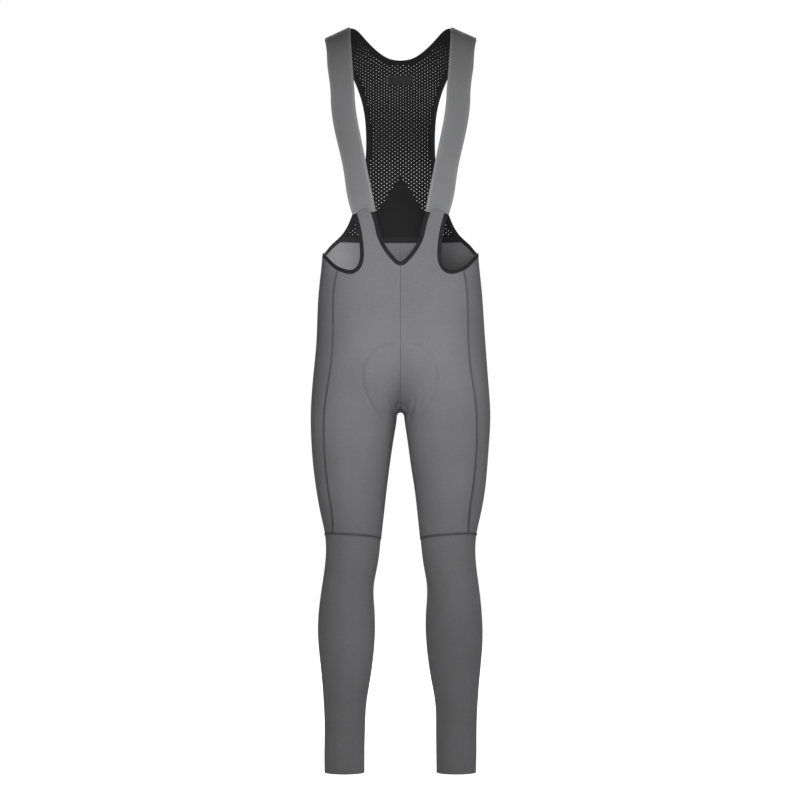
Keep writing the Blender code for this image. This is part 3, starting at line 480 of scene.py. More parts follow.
def on_face(face, x, second):
    """The surface point at this distance from the middle. On the ridge the second value is the
    distance behind it, and elsewhere it is the height."""
    x, second = np.asarray(x, float), np.asarray(second, float)
    if face == "ridge":
        across, _, middle, depth, power = shares(x, np.full_like(x, SHOULDER_START + 100.0))
        deep = (np.abs(second) / depth) ** power
        upward = np.maximum(1 - deep / (1 - across**power), 0.0) ** (1 / power)
        top = SHOULDER_TOP - SHOULDER_SLOPE * x
        height = SHOULDER_START + upward * (top - SHOULDER_START)
        return np.stack([x, middle + second, height], axis=-1)
    across, upward, middle, depth, power = shares(x, second)
    room = np.maximum(1 - across**power, 0.0) * np.maximum(1 - upward**power, 0.0)
    side = -1.0 if face == "front" else 1.0
    return np.stack([x, middle + side * depth * room ** (1 / power), second], axis=-1)


def on_face_line(face, rows):
    """Surface points from rows of (distance from the middle, height)."""
    return np.array([on_face(face, *row) for row in rows])


def across_back(x, height):
    """Points across the back, on both halves."""
    row = on_face("back", np.abs(x), np.broadcast_to(height, np.shape(x)))
    row[:, 0] = x
    return row


def run_along(line):
    """How far along the line each of its points lies."""
    return np.concatenate([[0], np.cumsum(np.linalg.norm(np.diff(line, axis=0), axis=1))])


def smooth_line(points):
    """A dense smooth line through the points, and the index of each point in it."""
    run = run_along(points)
    places = [np.linspace(a, b, SPAN_POINTS, endpoint=False) for a, b in zip(run[:-1], run[1:])]
    places = np.append(np.concatenate(places), run[-1])
    return spline(run, points)(places), [i * SPAN_POINTS for i in range(len(points))]


def spaced(line, spacing):
    """The line with points as near as it can to this spacing, keeping both ends."""
    run = run_along(line)
    parts = max(1, int(round(run[-1] / spacing)))
    wanted = np.linspace(0, run[-1], parts + 1)
    return np.stack([np.interp(wanted, run, line[:, k]) for k in range(3)], axis=1)


def joined(*lines):
    """The lines end to end, with each shared point once."""
    return np.concatenate([line[:-1] for line in lines[:-1]] + [lines[-1]])


def closed(line):
    """The line with its first point again at its end."""
    return np.concatenate([line, line[:1]])


def loop_edges(first, count):
    """The edges round a closed run of points."""
    return [(first + k, first + (k + 1) % count) for k in range(count)]


class Chart:
    """Names a place on the surface by an angle round a line inside the body and a place along it,
    and lays the surface out flat as distance round it and place along it."""

    step = 10.0
    angle_count = 121

    def __init__(self, angles, places):
        self.angles = np.linspace(np.radians(angles[0]), np.radians(angles[1]), self.angle_count)
        self.places = np.arange(places[0], places[1] + self.step, self.step)
        angle, place = np.meshgrid(self.angles, self.places)
        lengths = np.linalg.norm(np.diff(self.surface(angle, place), axis=1), axis=2)
        run = np.concatenate([np.zeros((len(self.places), 1)), np.cumsum(lengths, axis=1)], axis=1)
        self.runs = run - run[:, [self.angle_count // 2]]

    def surface(self, angle, place):
        """The surface points that rays from the inner line reach."""
        start, first, second = self.frame(place)
        ray = np.sin(angle)[..., None] * first + np.cos(angle)[..., None] * second
        near = np.zeros_like(angle, dtype=float)
        far = np.full_like(near, RAY_LENGTH)
        for _ in range(HALVINGS):
            middle = (near + far) / 2
            outside = field(start + middle[..., None] * ray, self.one_sided) > 0
            far = np.where(outside, middle, far)
            near = np.where(outside, near, middle)
        return start + near[..., None] * ray

    def row(self, place):
        spot = np.clip((place - self.places[0]) / self.step, 0, len(self.places) - 1.001)
        i = spot.astype(int)
        part = (spot - i)[..., None]
        return self.runs[i] * (1 - part) + self.runs[i + 1] * part

    def flat(self, points):
        angle, place = self.coordinates(points)
        rows = self.row(place)
        round_it = [np.interp(a, self.angles, row) for a, row in zip(angle, rows)]
        return np.stack([round_it, place], axis=1)

    def lifted(self, flat):
        """Surface points from flat ones."""
        rows = self.row(flat[:, 1])
        angle = np.array([np.interp(u, row, self.angles) for u, row in zip(flat[:, 0], rows)])
        return self.surface(angle, flat[:, 1])


class LegChart(Chart):
    """Round the left leg and the left half of the waist. Its rings tilt with the crotch."""

    one_sided = True
    tilt_most = np.tan(np.radians(36.0))
    tilt_from, tilt_full, tilt_end = 590.0, 745.0, 950.0
    waist_centre = 76.0

    def __init__(self, angles, places, turn):
        self.turn = np.radians(turn)
        super().__init__(angles, places)

    def lean(self, place):
        up = eased(place, (self.tilt_from, self.tilt_full))
        down = eased(place, (self.tilt_end, self.tilt_full))
        return self.tilt_most * np.minimum(up, down)

    def centre(self, place):
        _, middle, front, back, _ = section(place)
        return np.maximum(middle, self.waist_centre), (front + back) / 2

    def frame(self, place):
        place = np.asarray(place, float)
        x, y = self.centre(place)
        lean = self.lean(place)
        first = unit(np.stack([np.ones_like(lean), np.zeros_like(lean), lean], axis=-1))
        return np.stack([x, y, place], axis=-1), first, np.array([0.0, -1.0, 0.0])

    def coordinates(self, points):
        """The angle and the place of surface points."""
        low = np.full(len(points), self.places[0] - 200)
        high = np.full(len(points), self.places[-1] + 200)
        for _ in range(HALVINGS):
            place = (low + high) / 2
            above = points[:, 2] - place - (points[:, 0] - self.centre(place)[0]) * self.lean(place)
            low = np.where(above > 0, place, low)
            high = np.where(above > 0, high, place)
        start, first, second = self.frame(place)
        away = points - start
        angle = np.arctan2((away * first).sum(axis=1), (away * second).sum(axis=1))
        turned = (angle - self.turn + np.pi) % (2 * np.pi) - np.pi
        return self.turn + turned, place


class BackChart(Chart):
    """Up the back, over the shoulder's ridge and down the chest, on both halves."""

    one_sided = False
    radius = 105.0

    def frame(self, place):
        place = np.asarray(place, float)
        top = SHOULDER_START + np.pi * self.radius
        turn = np.clip((place - SHOULDER_START) / self.radius, 0, np.pi)
        height = np.minimum(place, SHOULDER_START) - np.maximum(place - top, 0)
        middle = BODY_AT(height)[..., 2:4].mean(axis=-1)
        start = np.stack([np.zeros_like(place), middle, height], axis=-1)
        second = np.stack([np.zeros_like(place), np.cos(turn), np.sin(turn)], axis=-1)
        return start, np.array([1.0, 0.0, 0.0]), second

    def coordinates(self, points):
        x, y, z = points.T
        middle = BODY_AT(np.minimum(z, SHOULDER_START))[..., 2:4].mean(axis=-1)
        above = np.maximum(z - SHOULDER_START, 0)
        turn = np.arctan2(above, y - middle)
        behind = y > middle
        low_place = np.where(behind, z, SHOULDER_START + np.pi * self.radius + SHOULDER_START - z)
        place = np.where(z > SHOULDER_START, SHOULDER_START + self.radius * turn, low_place)
        return np.arctan2(x, np.hypot(y - middle, above)), place


def inside(flat, outline):
    """Which flat points lie inside the outline."""
    found = np.zeros(len(flat), bool)
    for (ax, ay), (bx, by) in zip(outline, np.roll(outline, -1, axis=0)):
        spans = (ay > flat[:, 1]) != (by > flat[:, 1])
        rise = by - ay if by != ay else 1e-12
        found ^= spans & (flat[:, 0] < ax + (flat[:, 1] - ay) * (bx - ax) / rise)
    return found


def to_line(points, line):
    """Distance from each point to the open line."""
    nearest = np.full(len(points), np.inf)
    for a, b in zip(line[:-1], line[1:]):
        along = b - a
        share = np.clip((points - a) @ along / max(along @ along, 1e-12), 0, 1)
        gap = np.linalg.norm(points - a - share[:, None] * along, axis=1)
        nearest = np.minimum(nearest, gap)
    return nearest


def lattice(chart, outline, lines):
    """Flat points inside the outline in a triangular lattice, closer together where it is fine."""
    low, high = outline.min(axis=0), outline.max(axis=0)
    rise = FINE * np.sqrt(0.75)
    rows, columns = np.meshgrid(
        np.arange(1, (high[1] - low[1]) / rise), np.arange(0, (high[0] - low[0]) / FINE), indexing="ij"
    )
    rows, columns = rows.ravel(), columns.ravel()
    flat = np.stack([low[0] + FINE * (columns + 0.5 * (rows % 2)), low[1] + rise * rows], axis=1)
    coarse = (rows % 2 == 0) & ((columns + rows // 2) % 2 == 0)
    keep = inside(flat, outline)
    flat, coarse = flat[keep], coarse[keep]
    fine = is_fine(chart.lifted(flat))
    room = np.where(fine, FINE, COARSE) * LATTICE_ROOM
    clear = np.min([to_line(flat, line) for line in lines], axis=0) > room
    return flat[clear & (fine | coarse)]


def is_fine(points):
    return np.linalg.norm(points - CROTCH_POINT, axis=1) < FINE_REACH


def pitch_at(place):
    """The distance between a column's holes."""
    return LOW_PITCH + (HIGH_PITCH - LOW_PITCH) * eased(place, PITCH_CHANGE)


def hole_spots(flat, chart):
    """The middles of the holes, in staggered columns, clear of the edges and of the plain wedge."""
    across, top = flat.max(axis=0)
    rows = [HOLE_ROWS_START]
    while rows[-1] < top:
        rows.append(rows[-1] + pitch_at(rows[-1]) / 2)
    reach = int(across / HOLE_COLUMN) + 1
    columns = range(-reach, reach + 1)
    spots = [(i * HOLE_COLUMN, row) for n, row in enumerate(rows) for i in columns if (i + n) % 2 == 0]
    spots = np.array(spots)
    wedge = np.abs(spots[:, 0]) < SOLID_SLOPE * (SOLID_APEX - spots[:, 1])
    spots = spots[inside(spots, flat) & ~wedge]
    hem = chart.flat(np.concatenate([(MESH_NECK_LINE * FLIP)[::-1], MESH_NECK_LINE]))
    return spots[(to_line(spots, closed(flat)) > HOLE_EDGE) & (to_line(spots, hem) > HOLE_HEM)]


def perforated(chart, outline):
    """The back's cloth with its holes cut out: (surface points, triangles, flat points)."""
    flat = chart.flat(outline)
    spots = hole_spots(flat, chart)
    turn = np.linspace(0, 2 * np.pi, HOLE_SIDES, endpoint=False)
    size = HOLE_LOW + (HOLE_HIGH - HOLE_LOW) * eased(spots[:, 1:], HOLE_CHANGE)
    rims = np.stack([spots[:, :1] + size * np.sin(turn), spots[:, 1:] + size * np.cos(turn)], axis=-1)
    tree = KDTree(len(spots))
    for i, (x, y) in enumerate(spots):
        tree.insert((x, y, 0), i)
    tree.balance()
    inner = lattice(chart, flat, [closed(flat)])
    inner = np.array([p for p in inner if tree.find((p[0], p[1], 0))[2] > HOLE_COLUMN])
    every = np.concatenate([flat, rims.reshape(-1, 2), inner])
    owner = np.full(len(every), -1)
    owner[len(flat) : len(flat) + len(spots) * HOLE_SIDES] = np.repeat(np.arange(len(spots)), HOLE_SIDES)
    edges = loop_edges(0, len(flat))
    for i in range(len(spots)):
        edges += loop_edges(len(flat) + i * HOLE_SIDES, HOLE_SIDES)
    triangles = triangulated(every, edges)
    held = owner[triangles]
    in_hole = (held[:, 0] >= 0) & (held[:, 0] == held[:, 1]) & (held[:, 1] == held[:, 2])
    triangles = triangles[inside(every[triangles].mean(axis=1), flat) & ~in_hole]
    points = np.concatenate([outline, chart.lifted(every[len(flat) :])])
    return points, facing_out(points, triangles), every


def triangulated(points, edges):
    """Triangles over flat points, with these edges kept."""
    cut = delaunay_2d_cdt([Vector(p) for p in points], edges, [], 0, 1e-6, True)
    source = [ids[0] for ids in cut[3]]
    return np.array([[source[i] for i in face] for face in cut[2]])


def sheet_of(chart, outline, crease=None):
    """A piece of the surface: (points, triangles, flat points, which triangles the crease cuts off)."""
    flat = chart.flat(outline)
    count = len(outline)
    lines, edges, added = [closed(flat)], [], np.empty((0, 2))
    if crease is not None:
        first = np.linalg.norm(outline - crease[0], axis=1).argmin()
        last = np.linalg.norm(outline - crease[-1], axis=1).argmin()
        added = chart.flat(crease[1:-1])
        chain = [first, *range(count, count + len(added)), last]
        edges = [(int(a), int(b)) for a, b in zip(chain[:-1], chain[1:])]
        lines.append(np.concatenate([flat[[first]], added, flat[[last]]]))
        middle = lines[1]
        ahead = unit(np.gradient(middle, axis=0))
        aside = np.stack([ahead[:, 1], -ahead[:, 0]], axis=1)
        for offset in PAD_SIDE_LINES:
            beside_it = (middle + aside * offset)[2:-2]
            lines.append(beside_it)
            added = np.concatenate([added, beside_it])
    every = np.concatenate([flat, added, lattice(chart, flat, lines)])
    triangles = triangulated(every, loop_edges(0, count) + edges)
    triangles = triangles[inside(every[triangles].mean(axis=1), flat)]
    points = np.concatenate([outline, chart.lifted(every[count:])])
    cut_off = np.zeros(len(triangles), bool)
    if crease is not None:
        cut_off = inside(every[triangles].mean(axis=1), crease_loop(flat, lines[1], first, last))
    return points, facing_out(points, triangles), every, cut_off


def crease_loop(flat, line, first, last):
    """The outline of what the crease cuts off, which holds the crotch corner."""
    count = len(flat)
    ahead = [(last + i) % count for i in range((first - last) % count + 1)]
    behind = [(last - i) % count for i in range((last - first) % count + 1)]
    way = ahead if len(ahead) < len(behind) else behind
    return np.concatenate([line, flat[way[1:-1]]])


def facing_out(points, triangles):
    """The triangles, which all turn one way, turned so that they face away from the body."""
    corners = points[triangles]
    faces = np.cross(corners[:, 1] - corners[:, 0], corners[:, 2] - corners[:, 0])
    facing = (faces * normals(corners.mean(axis=1))).sum()
    return triangles[:, ::-1] if facing < 0 else triangles


def turned_out(points, faces):
    """The grid's faces, turned where they have to be to face away from the body."""
    return faces if facing_out(points, faces[:1, :3])[0, 0] == faces[0, 0] else faces[:, ::-1]


def grid_faces(rows, columns, around=False):
    """Four-sided faces over a grid of points, closed round its columns where asked."""
    i, j = np.meshgrid(np.arange(rows - 1), np.arange(columns if around else columns - 1), indexing="ij")
    a, b = (i * columns + j).ravel(), (i * columns + (j + 1) % columns).ravel()
    return np.stack([a, b, b + columns, a + columns], axis=1)


def capped_faces(rings, sides):
    """Faces round a tube of this many rings, with both of its ends."""
    last = (rings - 1) * sides
    ends = [tuple(range(sides))[::-1], tuple(last + k for k in range(sides))]
    return grid_faces(rings, sides, around=True).tolist() + ends


def rim_edges(faces):
    """The edges that only one face has, in that face's direction."""
    edges = {(a, b) for face in faces.tolist() for a, b in zip(face, face[1:] + face[:1])}
    return [(a, b) for a, b in edges if (b, a) not in edges]


def drawn_in(points, faces, facing):
    """The points with the sheet's rim moved in by half of a seam's gap."""
    rim = rim_edges(faces)
    before = {b: a for a, b in rim}
    after = dict(rim)
    spots = np.array(list(after))
    back = points[[before[i] for i in spots]]
    ahead = points[[after[i] for i in spots]]
    first = unit(np.cross(facing[spots], unit(points[spots] - back)))
    second = unit(np.cross(facing[spots], unit(ahead - points[spots])))
    mean = unit(first + second)
    moved = points.copy()
    moved[spots] += mean * (SEAM_GAP / 2) / np.maximum((mean * first).sum(axis=1, keepdims=True), 0.4)
    return moved


def nearest_on(points, line):
    """The distance to the nearest point of a dense line, and that point's number."""
    gaps = np.linalg.norm(points[:, None] - line[None], axis=2)
    nearest = gaps.argmin(axis=1)
    return gaps[np.arange(len(points)), nearest], nearest


def crease_height(points):
    """How far the creases push the cloth out or let it in."""
    total = np.zeros(len(points))
    for halves, width, depth, line in CREASE_LINES:
        middle = line.mean(axis=0)
        reach = np.linalg.norm(line - middle, axis=1).max() + CREASE_REACH * width
        for half, sides in (("left", np.ones(3)), ("right", FLIP)):
            place = points * sides
            near = np.flatnonzero(np.linalg.norm(place - middle, axis=1) < reach)
            if halves not in (half, "both") or not len(near):
                continue
            gap, number = nearest_on(place[near], line)
            fade = np.sin(np.pi * np.clip(number / (len(line) - 1), *CREASE_ENDS)) ** CREASE_FADE
            total[near] += depth * fade * np.exp(-((gap / width) ** 2))
    return total


def pad_height(points):
    """How far the seat pad pushes the cloth out, with a thin groove round its edge."""
    total = np.zeros(len(points))
    low, high = PAD_HEIGHTS
    near = np.flatnonzero((points[:, 2] > low) & (points[:, 2] < high))
    if not len(near):
        return total
    place = points[near]
    place[:, 0] = np.abs(place[:, 0])
    gap, number = nearest_on(place, PAD_LINE)
    inner = ((place - PAD_LINE[number]) * PAD_INWARD[number]).sum(axis=1) > 0
    fade = eased(np.linalg.norm(place - CROTCH_POINT, axis=1), RELIEF_FROM_CROTCH)
    low_fade = eased(place[:, 2], PAD_FADE_HEIGHTS)
    total[near] = np.where(inner, PAD_RELIEF * ease(gap / PAD_STEP), 0.0) * fade * low_fade
    total[near] -= PAD_GROOVE * np.exp(-((gap / PAD_GROOVE_WIDTH) ** 2)) * np.sqrt(low_fade)
    return total


def wave_height(points):
    """How far the slow waves move the cloth."""
    total = np.zeros(len(points))
    for height, along_x, along_y, along_z, shift in WAVES:
        turn = np.full(len(points), shift)
        for axis, length in enumerate((along_x, along_y, along_z)):
            if length:
                turn = turn + 2 * np.pi * points[:, axis] / length
        total += height * np.sin(turn)
    return total


def placed(points, lift=0.0):
    """Surface points moved out by the cloth's relief and the lift."""
    height = crease_height(points) + pad_height(points) + wave_height(points) + lift
    return points + normals(points) * np.reshape(height, (-1, 1))


def add_piece(name, points, faces, material, flat=None, replaces=None):
    """A mesh piece that rides on the garment. flat is each point's place on the flat cloth."""
    mesh = bpy.data.meshes.new(name)
    metres = (points - np.array([0.0, 0.0, ORIGIN_HEIGHT])) / 1000
    mesh.from_pydata(metres.tolist(), [], faces)
    mesh.shade_smooth()
    mesh.set_sharp_from_angle(angle=np.radians(SHARP_ANGLE))
    mesh.materials.append(MATERIALS[material])
    if flat is not None:
        layer = mesh.uv_layers.new(name="cloth")
        corners = np.empty(len(mesh.loops), int)
        mesh.loops.foreach_get("vertex_index", corners)
        layer.data.foreach_set("uv", (flat[corners] / 1000).ravel())
    piece = bpy.data.objects.new(name, mesh)
    bpy.context.collection.objects.link(piece)
    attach(piece, "root")
    if replaces:
        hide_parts(replaces)
    return piece


def add_shell(name, outer, inner, faces, material, flat):
    """A closed wall of cloth between two sheets that share their faces."""
    count = len(outer)
    walls = [(b, a, a + count, b + count) for a, b in rim_edges(faces)]
    every = faces.tolist() + (faces[:, ::-1] + count).tolist() + walls
    points = np.concatenate([outer, inner])
    return add_piece(f"{name}_cloth", points, every, material, np.concatenate([flat, flat]), name)


def cloth(name, points, faces, flat, material, mirrored=False):
    """A thin wall of cloth under the surface points, which are the left half's."""
    if mirrored:
        points, faces, flat = points * FLIP, faces[:, ::-1], flat * FLIP[:2]
    facing = normals(points)
    points = drawn_in(points, faces, facing)
    return add_shell(name, placed(points), placed(points, -CLOTH), faces, material, flat)


def tube(path, radius, facing, sides=4):
    """(points, faces) of a thread along the path."""
    along = unit(np.gradient(path, axis=0))
    aside = unit(np.cross(along, facing))
    up = unit(np.cross(aside, along))
    turn = np.linspace(0, 2 * np.pi, sides, endpoint=False)
    outward = np.sin(turn)[:, None] * aside[:, None] + np.cos(turn)[:, None] * up[:, None]
    rings = path[:, None] + radius * outward
    return rings.reshape(-1, 3), capped_faces(len(path), sides)


def gathered(parts):
    """Several (points, faces) made one."""
    points, faces, offset = [], [], 0
    for some, their in parts:
        points.append(some)
        faces += [tuple(int(i) + offset for i in face) for face in their]
        offset += len(some)
    return np.concatenate(points), faces


def beside(line):
    """Unit vectors out of the surface and across the line."""
    facing = normals(line)
    return facing, unit(np.cross(facing, unit(np.gradient(line, axis=0))))


def seam_band(line):
    """The flat ridge of a lapped seam."""
    line = spaced(line, BAND_STEP)
    _, aside = beside(line)
    half = SEAM_BAND / 2
    rows = [placed(line + aside * across * half, up * SEAM_BAND_HEIGHT) for across, up in SEAM_PROFILE]
    points = np.stack(rows, axis=1).reshape(-1, 3)
    return points, grid_faces(len(line), len(SEAM_PROFILE))


def flatlock(line):
    """A flat seam's threads: a zigzag between two straight rows."""
    line = spaced(line, STITCH_PITCH / 2)
    facing, aside = beside(line)
    swing = np.where(np.arange(len(line)) % 2, 1.0, -1.0)[:, None]
    lift = SEAM_BAND_HEIGHT + THREAD / 2
    parts = [tube(placed(line + aside * swing * STITCH_HALF, lift), THREAD, facing)]
    for side in (-1.0, 1.0):
        row = line[::2] + aside[::2] * side * STITCH_HALF
        parts.append(tube(placed(row, lift), THREAD, facing[::2]))
    return parts


def fine_seam(line):
    """The thin line of a seam sewn from inside, between two panels that meet."""
    line = spaced(line, LINE_STEP)
    facing, _ = beside(line)
    return tube(placed(line, -FINE_SEAM * 0.4), FINE_SEAM, facing, sides=6)


def dashes(line, offset, lift, radius=THREAD):
    """A row of running stitches beside the line."""
    line = spaced(line, DASH_STEP / 3)
    facing, aside = beside(line)
    path = placed(line + aside * offset, lift)
    sunk = path - facing * radius * DASH_SUNK
    parts = []
    for i in range(0, len(path) - 2, 3):
        middle = path[i] * 0.5 + path[i + 1] * 0.5
        end = sunk[i + 2] * 0.6 + sunk[i + 1] * 0.4
        run = np.stack([sunk[i], middle, path[i + 1], end])
        parts.append(tube(run, radius, facing[[i, i, i + 1, i + 1]]))
    return parts


def binding(line):
    """A rounded band beside an edge of the cloth, (points, faces, flat)."""
    line = spaced(line, LINE_STEP)
    facing, aside = beside(line)
    turn = np.linspace(0, 2 * np.pi, BINDING_SIDES, endpoint=False)
    across, deep = (np.sign(w) * np.abs(w) ** BINDING_ROUNDNESS for w in (np.cos(turn), np.sin(turn)))
    half = (BINDING_WIDTH + EDGE_OVERLAP) / 2
    middle = placed(line) + aside * (SEAM_GAP / 2 + BINDING_WIDTH - half) - facing * CLOTH / 2
    rings = (
        middle[:, None]
        + across[None, :, None] * aside[:, None] * half
        + deep[None, :, None] * facing[:, None] * BINDING_THICKNESS / 2
    )
    flat = np.stack(np.broadcast_arrays(across[None] * BINDING_WIDTH, run_along(line)[:, None]), axis=-1)
    return rings.reshape(-1, 3), capped_faces(len(line), BINDING_SIDES), flat.reshape(-1, 2)


def turned(points, faces):
    """The faces turned so that a closed form faces outwards."""
    total = 0.0
    for face in faces:
        a = points[face[0]]
        for i in range(1, len(face) - 1):
            total += a @ np.cross(points[face[i]], points[face[i + 1]])
    return [tuple(face)[::-1] for face in faces] if total < 0 else faces


def cut_line(rows):
    """The smooth line through the rows, cut into spaced stretches at its marked rows."""
    dense, spots = smooth_line(np.array([on_face(*row[:3]) for row in rows]))
    marked = [spot for row, spot in zip(rows, spots) if row[3]]
    return [spaced(dense[a : b + 1], EDGE_STEP) for a, b in zip(marked[:-1], marked[1:])]


def centre_line(side):
    """The seam in the middle plane, from where it stands upright down to the crotch."""
    turn = np.linspace(np.pi / 2, 0, CENTRE_POINTS)
    z = CROTCH + RISE * (1 - np.cos(turn))
    _, _, front, back, _ = section(z)
    y = (front + back) / 2 + side * (back - front) / 2 * np.sin(turn)
    return np.stack([np.zeros_like(z), y, z], axis=1)


def whole_centre_line(face, top, side):
    """The centre seam from the top of a panel down to the crotch."""
    heights = np.linspace(top, CROTCH + RISE, UPRIGHT_POINTS)
    upright = np.stack([on_face(face, 0.0, z) for z in heights])
    return joined(upright, centre_line(side))


def split_at(line, height):
    """The line as two spaced stretches that meet at this height."""
    spot = np.abs(line[:, 2] - height).argmin()
    return spaced(line[: spot + 1], EDGE_STEP), spaced(line[spot:], EDGE_STEP)


def leg_point(turn, z):
    """A point of the left leg's section, by its angle from the front towards the outside."""
    half_width, centre, front, back, power = section(z)
    across, deep = np.abs(np.sin(turn)) ** (2 / power), np.abs(np.cos(turn)) ** (2 / power)
    gap = np.hypot(GAP_AT(z)[..., 0], SEAM_ROUNDING)
    outer, inner = centre + (half_width - centre) * across, centre - (centre - gap) * across
    away = np.where(np.sin(turn) >= 0, outer, inner)
    x = np.sqrt(np.maximum(away**2 - SEAM_ROUNDING**2, 0))
    y = (front + back) / 2 - (back - front) / 2 * deep * np.sign(np.cos(turn))
    return np.stack([x, y, z], axis=-1)


def knee_height(turn):
    """The knee seam's height, which is higher in front and outside."""
    return KNEE_SEAM + KNEE_FRONT_RISE * np.cos(turn) + KNEE_SIDE_RISE * np.sin(turn)


def knee_turn(face, distance):
    """The angle at which the knee seam meets a side seam this far from the middle."""
    turns = np.linspace(0, np.pi / 2, KNEE_POINTS)
    if face == "back":
        turns = np.pi - turns
    reach = leg_point(turns, knee_height(turns))[:, 0]
    return turns[np.abs(reach - distance).argmin()]


def knee_line(start, end):
    """The knee seam between two angles."""
    turns = np.linspace(start, end, KNEE_POINTS)
    return spaced(leg_point(turns, knee_height(turns)), EDGE_STEP)


def inseam_line(knee_end):
    """The seam inside the left leg, from the crotch to the knee seam."""
    z = CROTCH - (CROTCH - knee_end[2]) * np.linspace(0, 1, INSEAM_POINTS) ** 2
    _, _, front, back, _ = section(z)
    gap = np.hypot(GAP_AT(z)[..., 0], SEAM_ROUNDING)
    gap = SEAM_ROUNDING + (gap - SEAM_ROUNDING) * (1 - np.exp((z - CROTCH) / CROTCH_ARCH))
    x = np.sqrt(np.maximum(gap**2 - SEAM_ROUNDING**2, 0))
    line = np.stack([x, (front + back) / 2, z], axis=1)
    line[-1], line[0] = knee_end, CROTCH_POINT
    return line


def side_seam(face, rows, knee_end):
    """A side seam from the opening's edge down to the knee seam."""
    points = on_face_line(face, rows)
    dense, _ = smooth_line(np.concatenate([points, [knee_end]]))
    settled = on_face(face, dense[:, 0], dense[:, 2])
    settled[[0, -1]] = points[0], knee_end
    return spaced(settled, EDGE_STEP)


def settle(chart, line):
    """The line moved onto the surface."""
    return chart.surface(*chart.coordinates(line))


def merged(parts):
    """Sheets that share seam points, made one."""
    points = np.concatenate([part[0] for part in parts])
    offsets = np.cumsum([0] + [len(part[0]) for part in parts[:-1]])
    triangles = np.concatenate([part[1] + offset for part, offset in zip(parts, offsets)])
    _, first, index = np.unique(np.round(points, 3), axis=0, return_index=True, return_inverse=True)
    triangles = index.reshape(-1)[triangles]
    used, triangles = np.unique(triangles, return_inverse=True)
    return points[first][used], triangles.reshape(-1, 3)


def new_material(name, roughness, sheen):
    """A material with its shader set up, and its nodes and links."""
    material = bpy.data.materials.new(name)
    material.use_nodes = True
    tree = material.node_tree
    shader = tree.nodes["Principled BSDF"]
    shader.inputs["Roughness"].default_value = roughness
    shader.inputs["Metallic"].default_value = 0.0
    shader.inputs["Specular IOR Level"].default_value = 0.25
    shader.inputs["Sheen Weight"].default_value = sheen
    shader.inputs["Sheen Roughness"].default_value = 0.45
    return material, tree, shader


def node(tree, kind, inputs=(), **settings):
    """A new node with its settings, and its inputs linked or set."""
    made = tree.nodes.new(kind)
    for key, value in settings.items():
        setattr(made, key, value)
    for key, value in dict(inputs).items():
        if isinstance(value, bpy.types.NodeSocket):
            tree.links.new(value, made.inputs[key])
        else:
            made.inputs[key].default_value = value
    return made


def noise(tree, scale, detail=2.0):
    """Noise that stays with the object."""
    place = node(tree, "ShaderNodeTexCoord").outputs["Object"]
    inputs = {"Vector": place, "Scale": scale, "Detail": detail}
    return node(tree, "ShaderNodeTexNoise", inputs).outputs["Fac"]


def computed(tree, operation, *values):
    """The result of one sum."""
    return node(tree, "ShaderNodeMath", dict(enumerate(values)), operation=operation).outputs[0]


def ranged(tree, value, low, high, start=0.0, end=1.0):
    """The value moved from between start and end to between low and high."""
    inputs = {"Value": value, "From Min": start, "From Max": end, "To Min": low, "To Max": high}
    return node(tree, "ShaderNodeMapRange", inputs).outputs[0]


def ramped(tree, value, colour, factors, ends=(0.0, 1.0)):
    """The colour times one factor at the first end of the value, and the other at the second."""
    ramp = node(tree, "ShaderNodeValToRGB", {"Fac": value})
    for element, factor, end in zip(ramp.color_ramp.elements, factors, ends):
        element.position = end
        element.color = (*(part * factor for part in colour), 1.0)
    return ramp.outputs["Color"]


def cloth_place(tree):
    """The place across and along the flat cloth."""
    flat = node(tree, "ShaderNodeUVMap", uv_map="cloth").outputs["UV"]
    split = node(tree, "ShaderNodeSeparateXYZ", {"Vector": flat})
    return split.outputs["X"], split.outputs["Y"]


def wave(tree, place, length):
    """A sine wave of this length in millimetres."""
    return computed(tree, "SINE", computed(tree, "MULTIPLY", place, 2000 * math.pi / length))


def set_colour(tree, shader, colour, shade=None):
    """Gives the shader this colour, scaled by the shade."""
    if shade is not None:
        scaled = node(tree, "ShaderNodeVectorMath", {0: colour, "Scale": shade}, operation="SCALE")
        colour = scaled.outputs["Vector"]
    tree.links.new(colour, shader.inputs["Base Color"])


def set_bump(tree, shader, height, depth, strength=1.0):
    """Gives the shader this relief. The depth is in millimetres."""
    inputs = {"Height": height, "Distance": depth / 1000, "Strength": strength}
    tree.links.new(node(tree, "ShaderNodeBump", inputs).outputs["Normal"], shader.inputs["Normal"])


def knit_material(name, colour, roughness, sheen, wale, course, depth):
    """Knitted cloth: upright wales crossed by courses, with slow and fine colour changes, and painted shade
    in the hollows between the loops with painted highlight on their tops.
    """
    material, tree, shader = new_material(name, roughness, sheen)
    across, along = cloth_place(tree)
    slow, fine = noise(tree, 7.0, detail=3.0), noise(tree, 420.0)
    courses = computed(tree, "MULTIPLY", wave(tree, along, course), 0.45)
    loops = computed(tree, "ADD", wave(tree, across, wale), courses)
    fibres = computed(tree, "MULTIPLY", fine, 1.6)
    set_bump(tree, shader, computed(tree, "ADD", loops, fibres), depth, strength=0.6)
    speck = ranged(tree, fine, 0.84, 1.16)
    # Painted shade and highlight: the colour is darker where the loops' relief is low and lighter where it
    # is high.
    painted_loop_shade = ranged(tree, loops, 0.9, 1.08, start=-1.45, end=1.45)
    ramp = ramped(tree, slow, colour, (0.92, 1.08), ends=(0.3, 0.7))
    set_colour(tree, shader, ramp, computed(tree, "MULTIPLY", speck, painted_loop_shade))
    tree.links.new(ranged(tree, slow, roughness - 0.05, roughness + 0.05), shader.inputs["Roughness"])
    return material


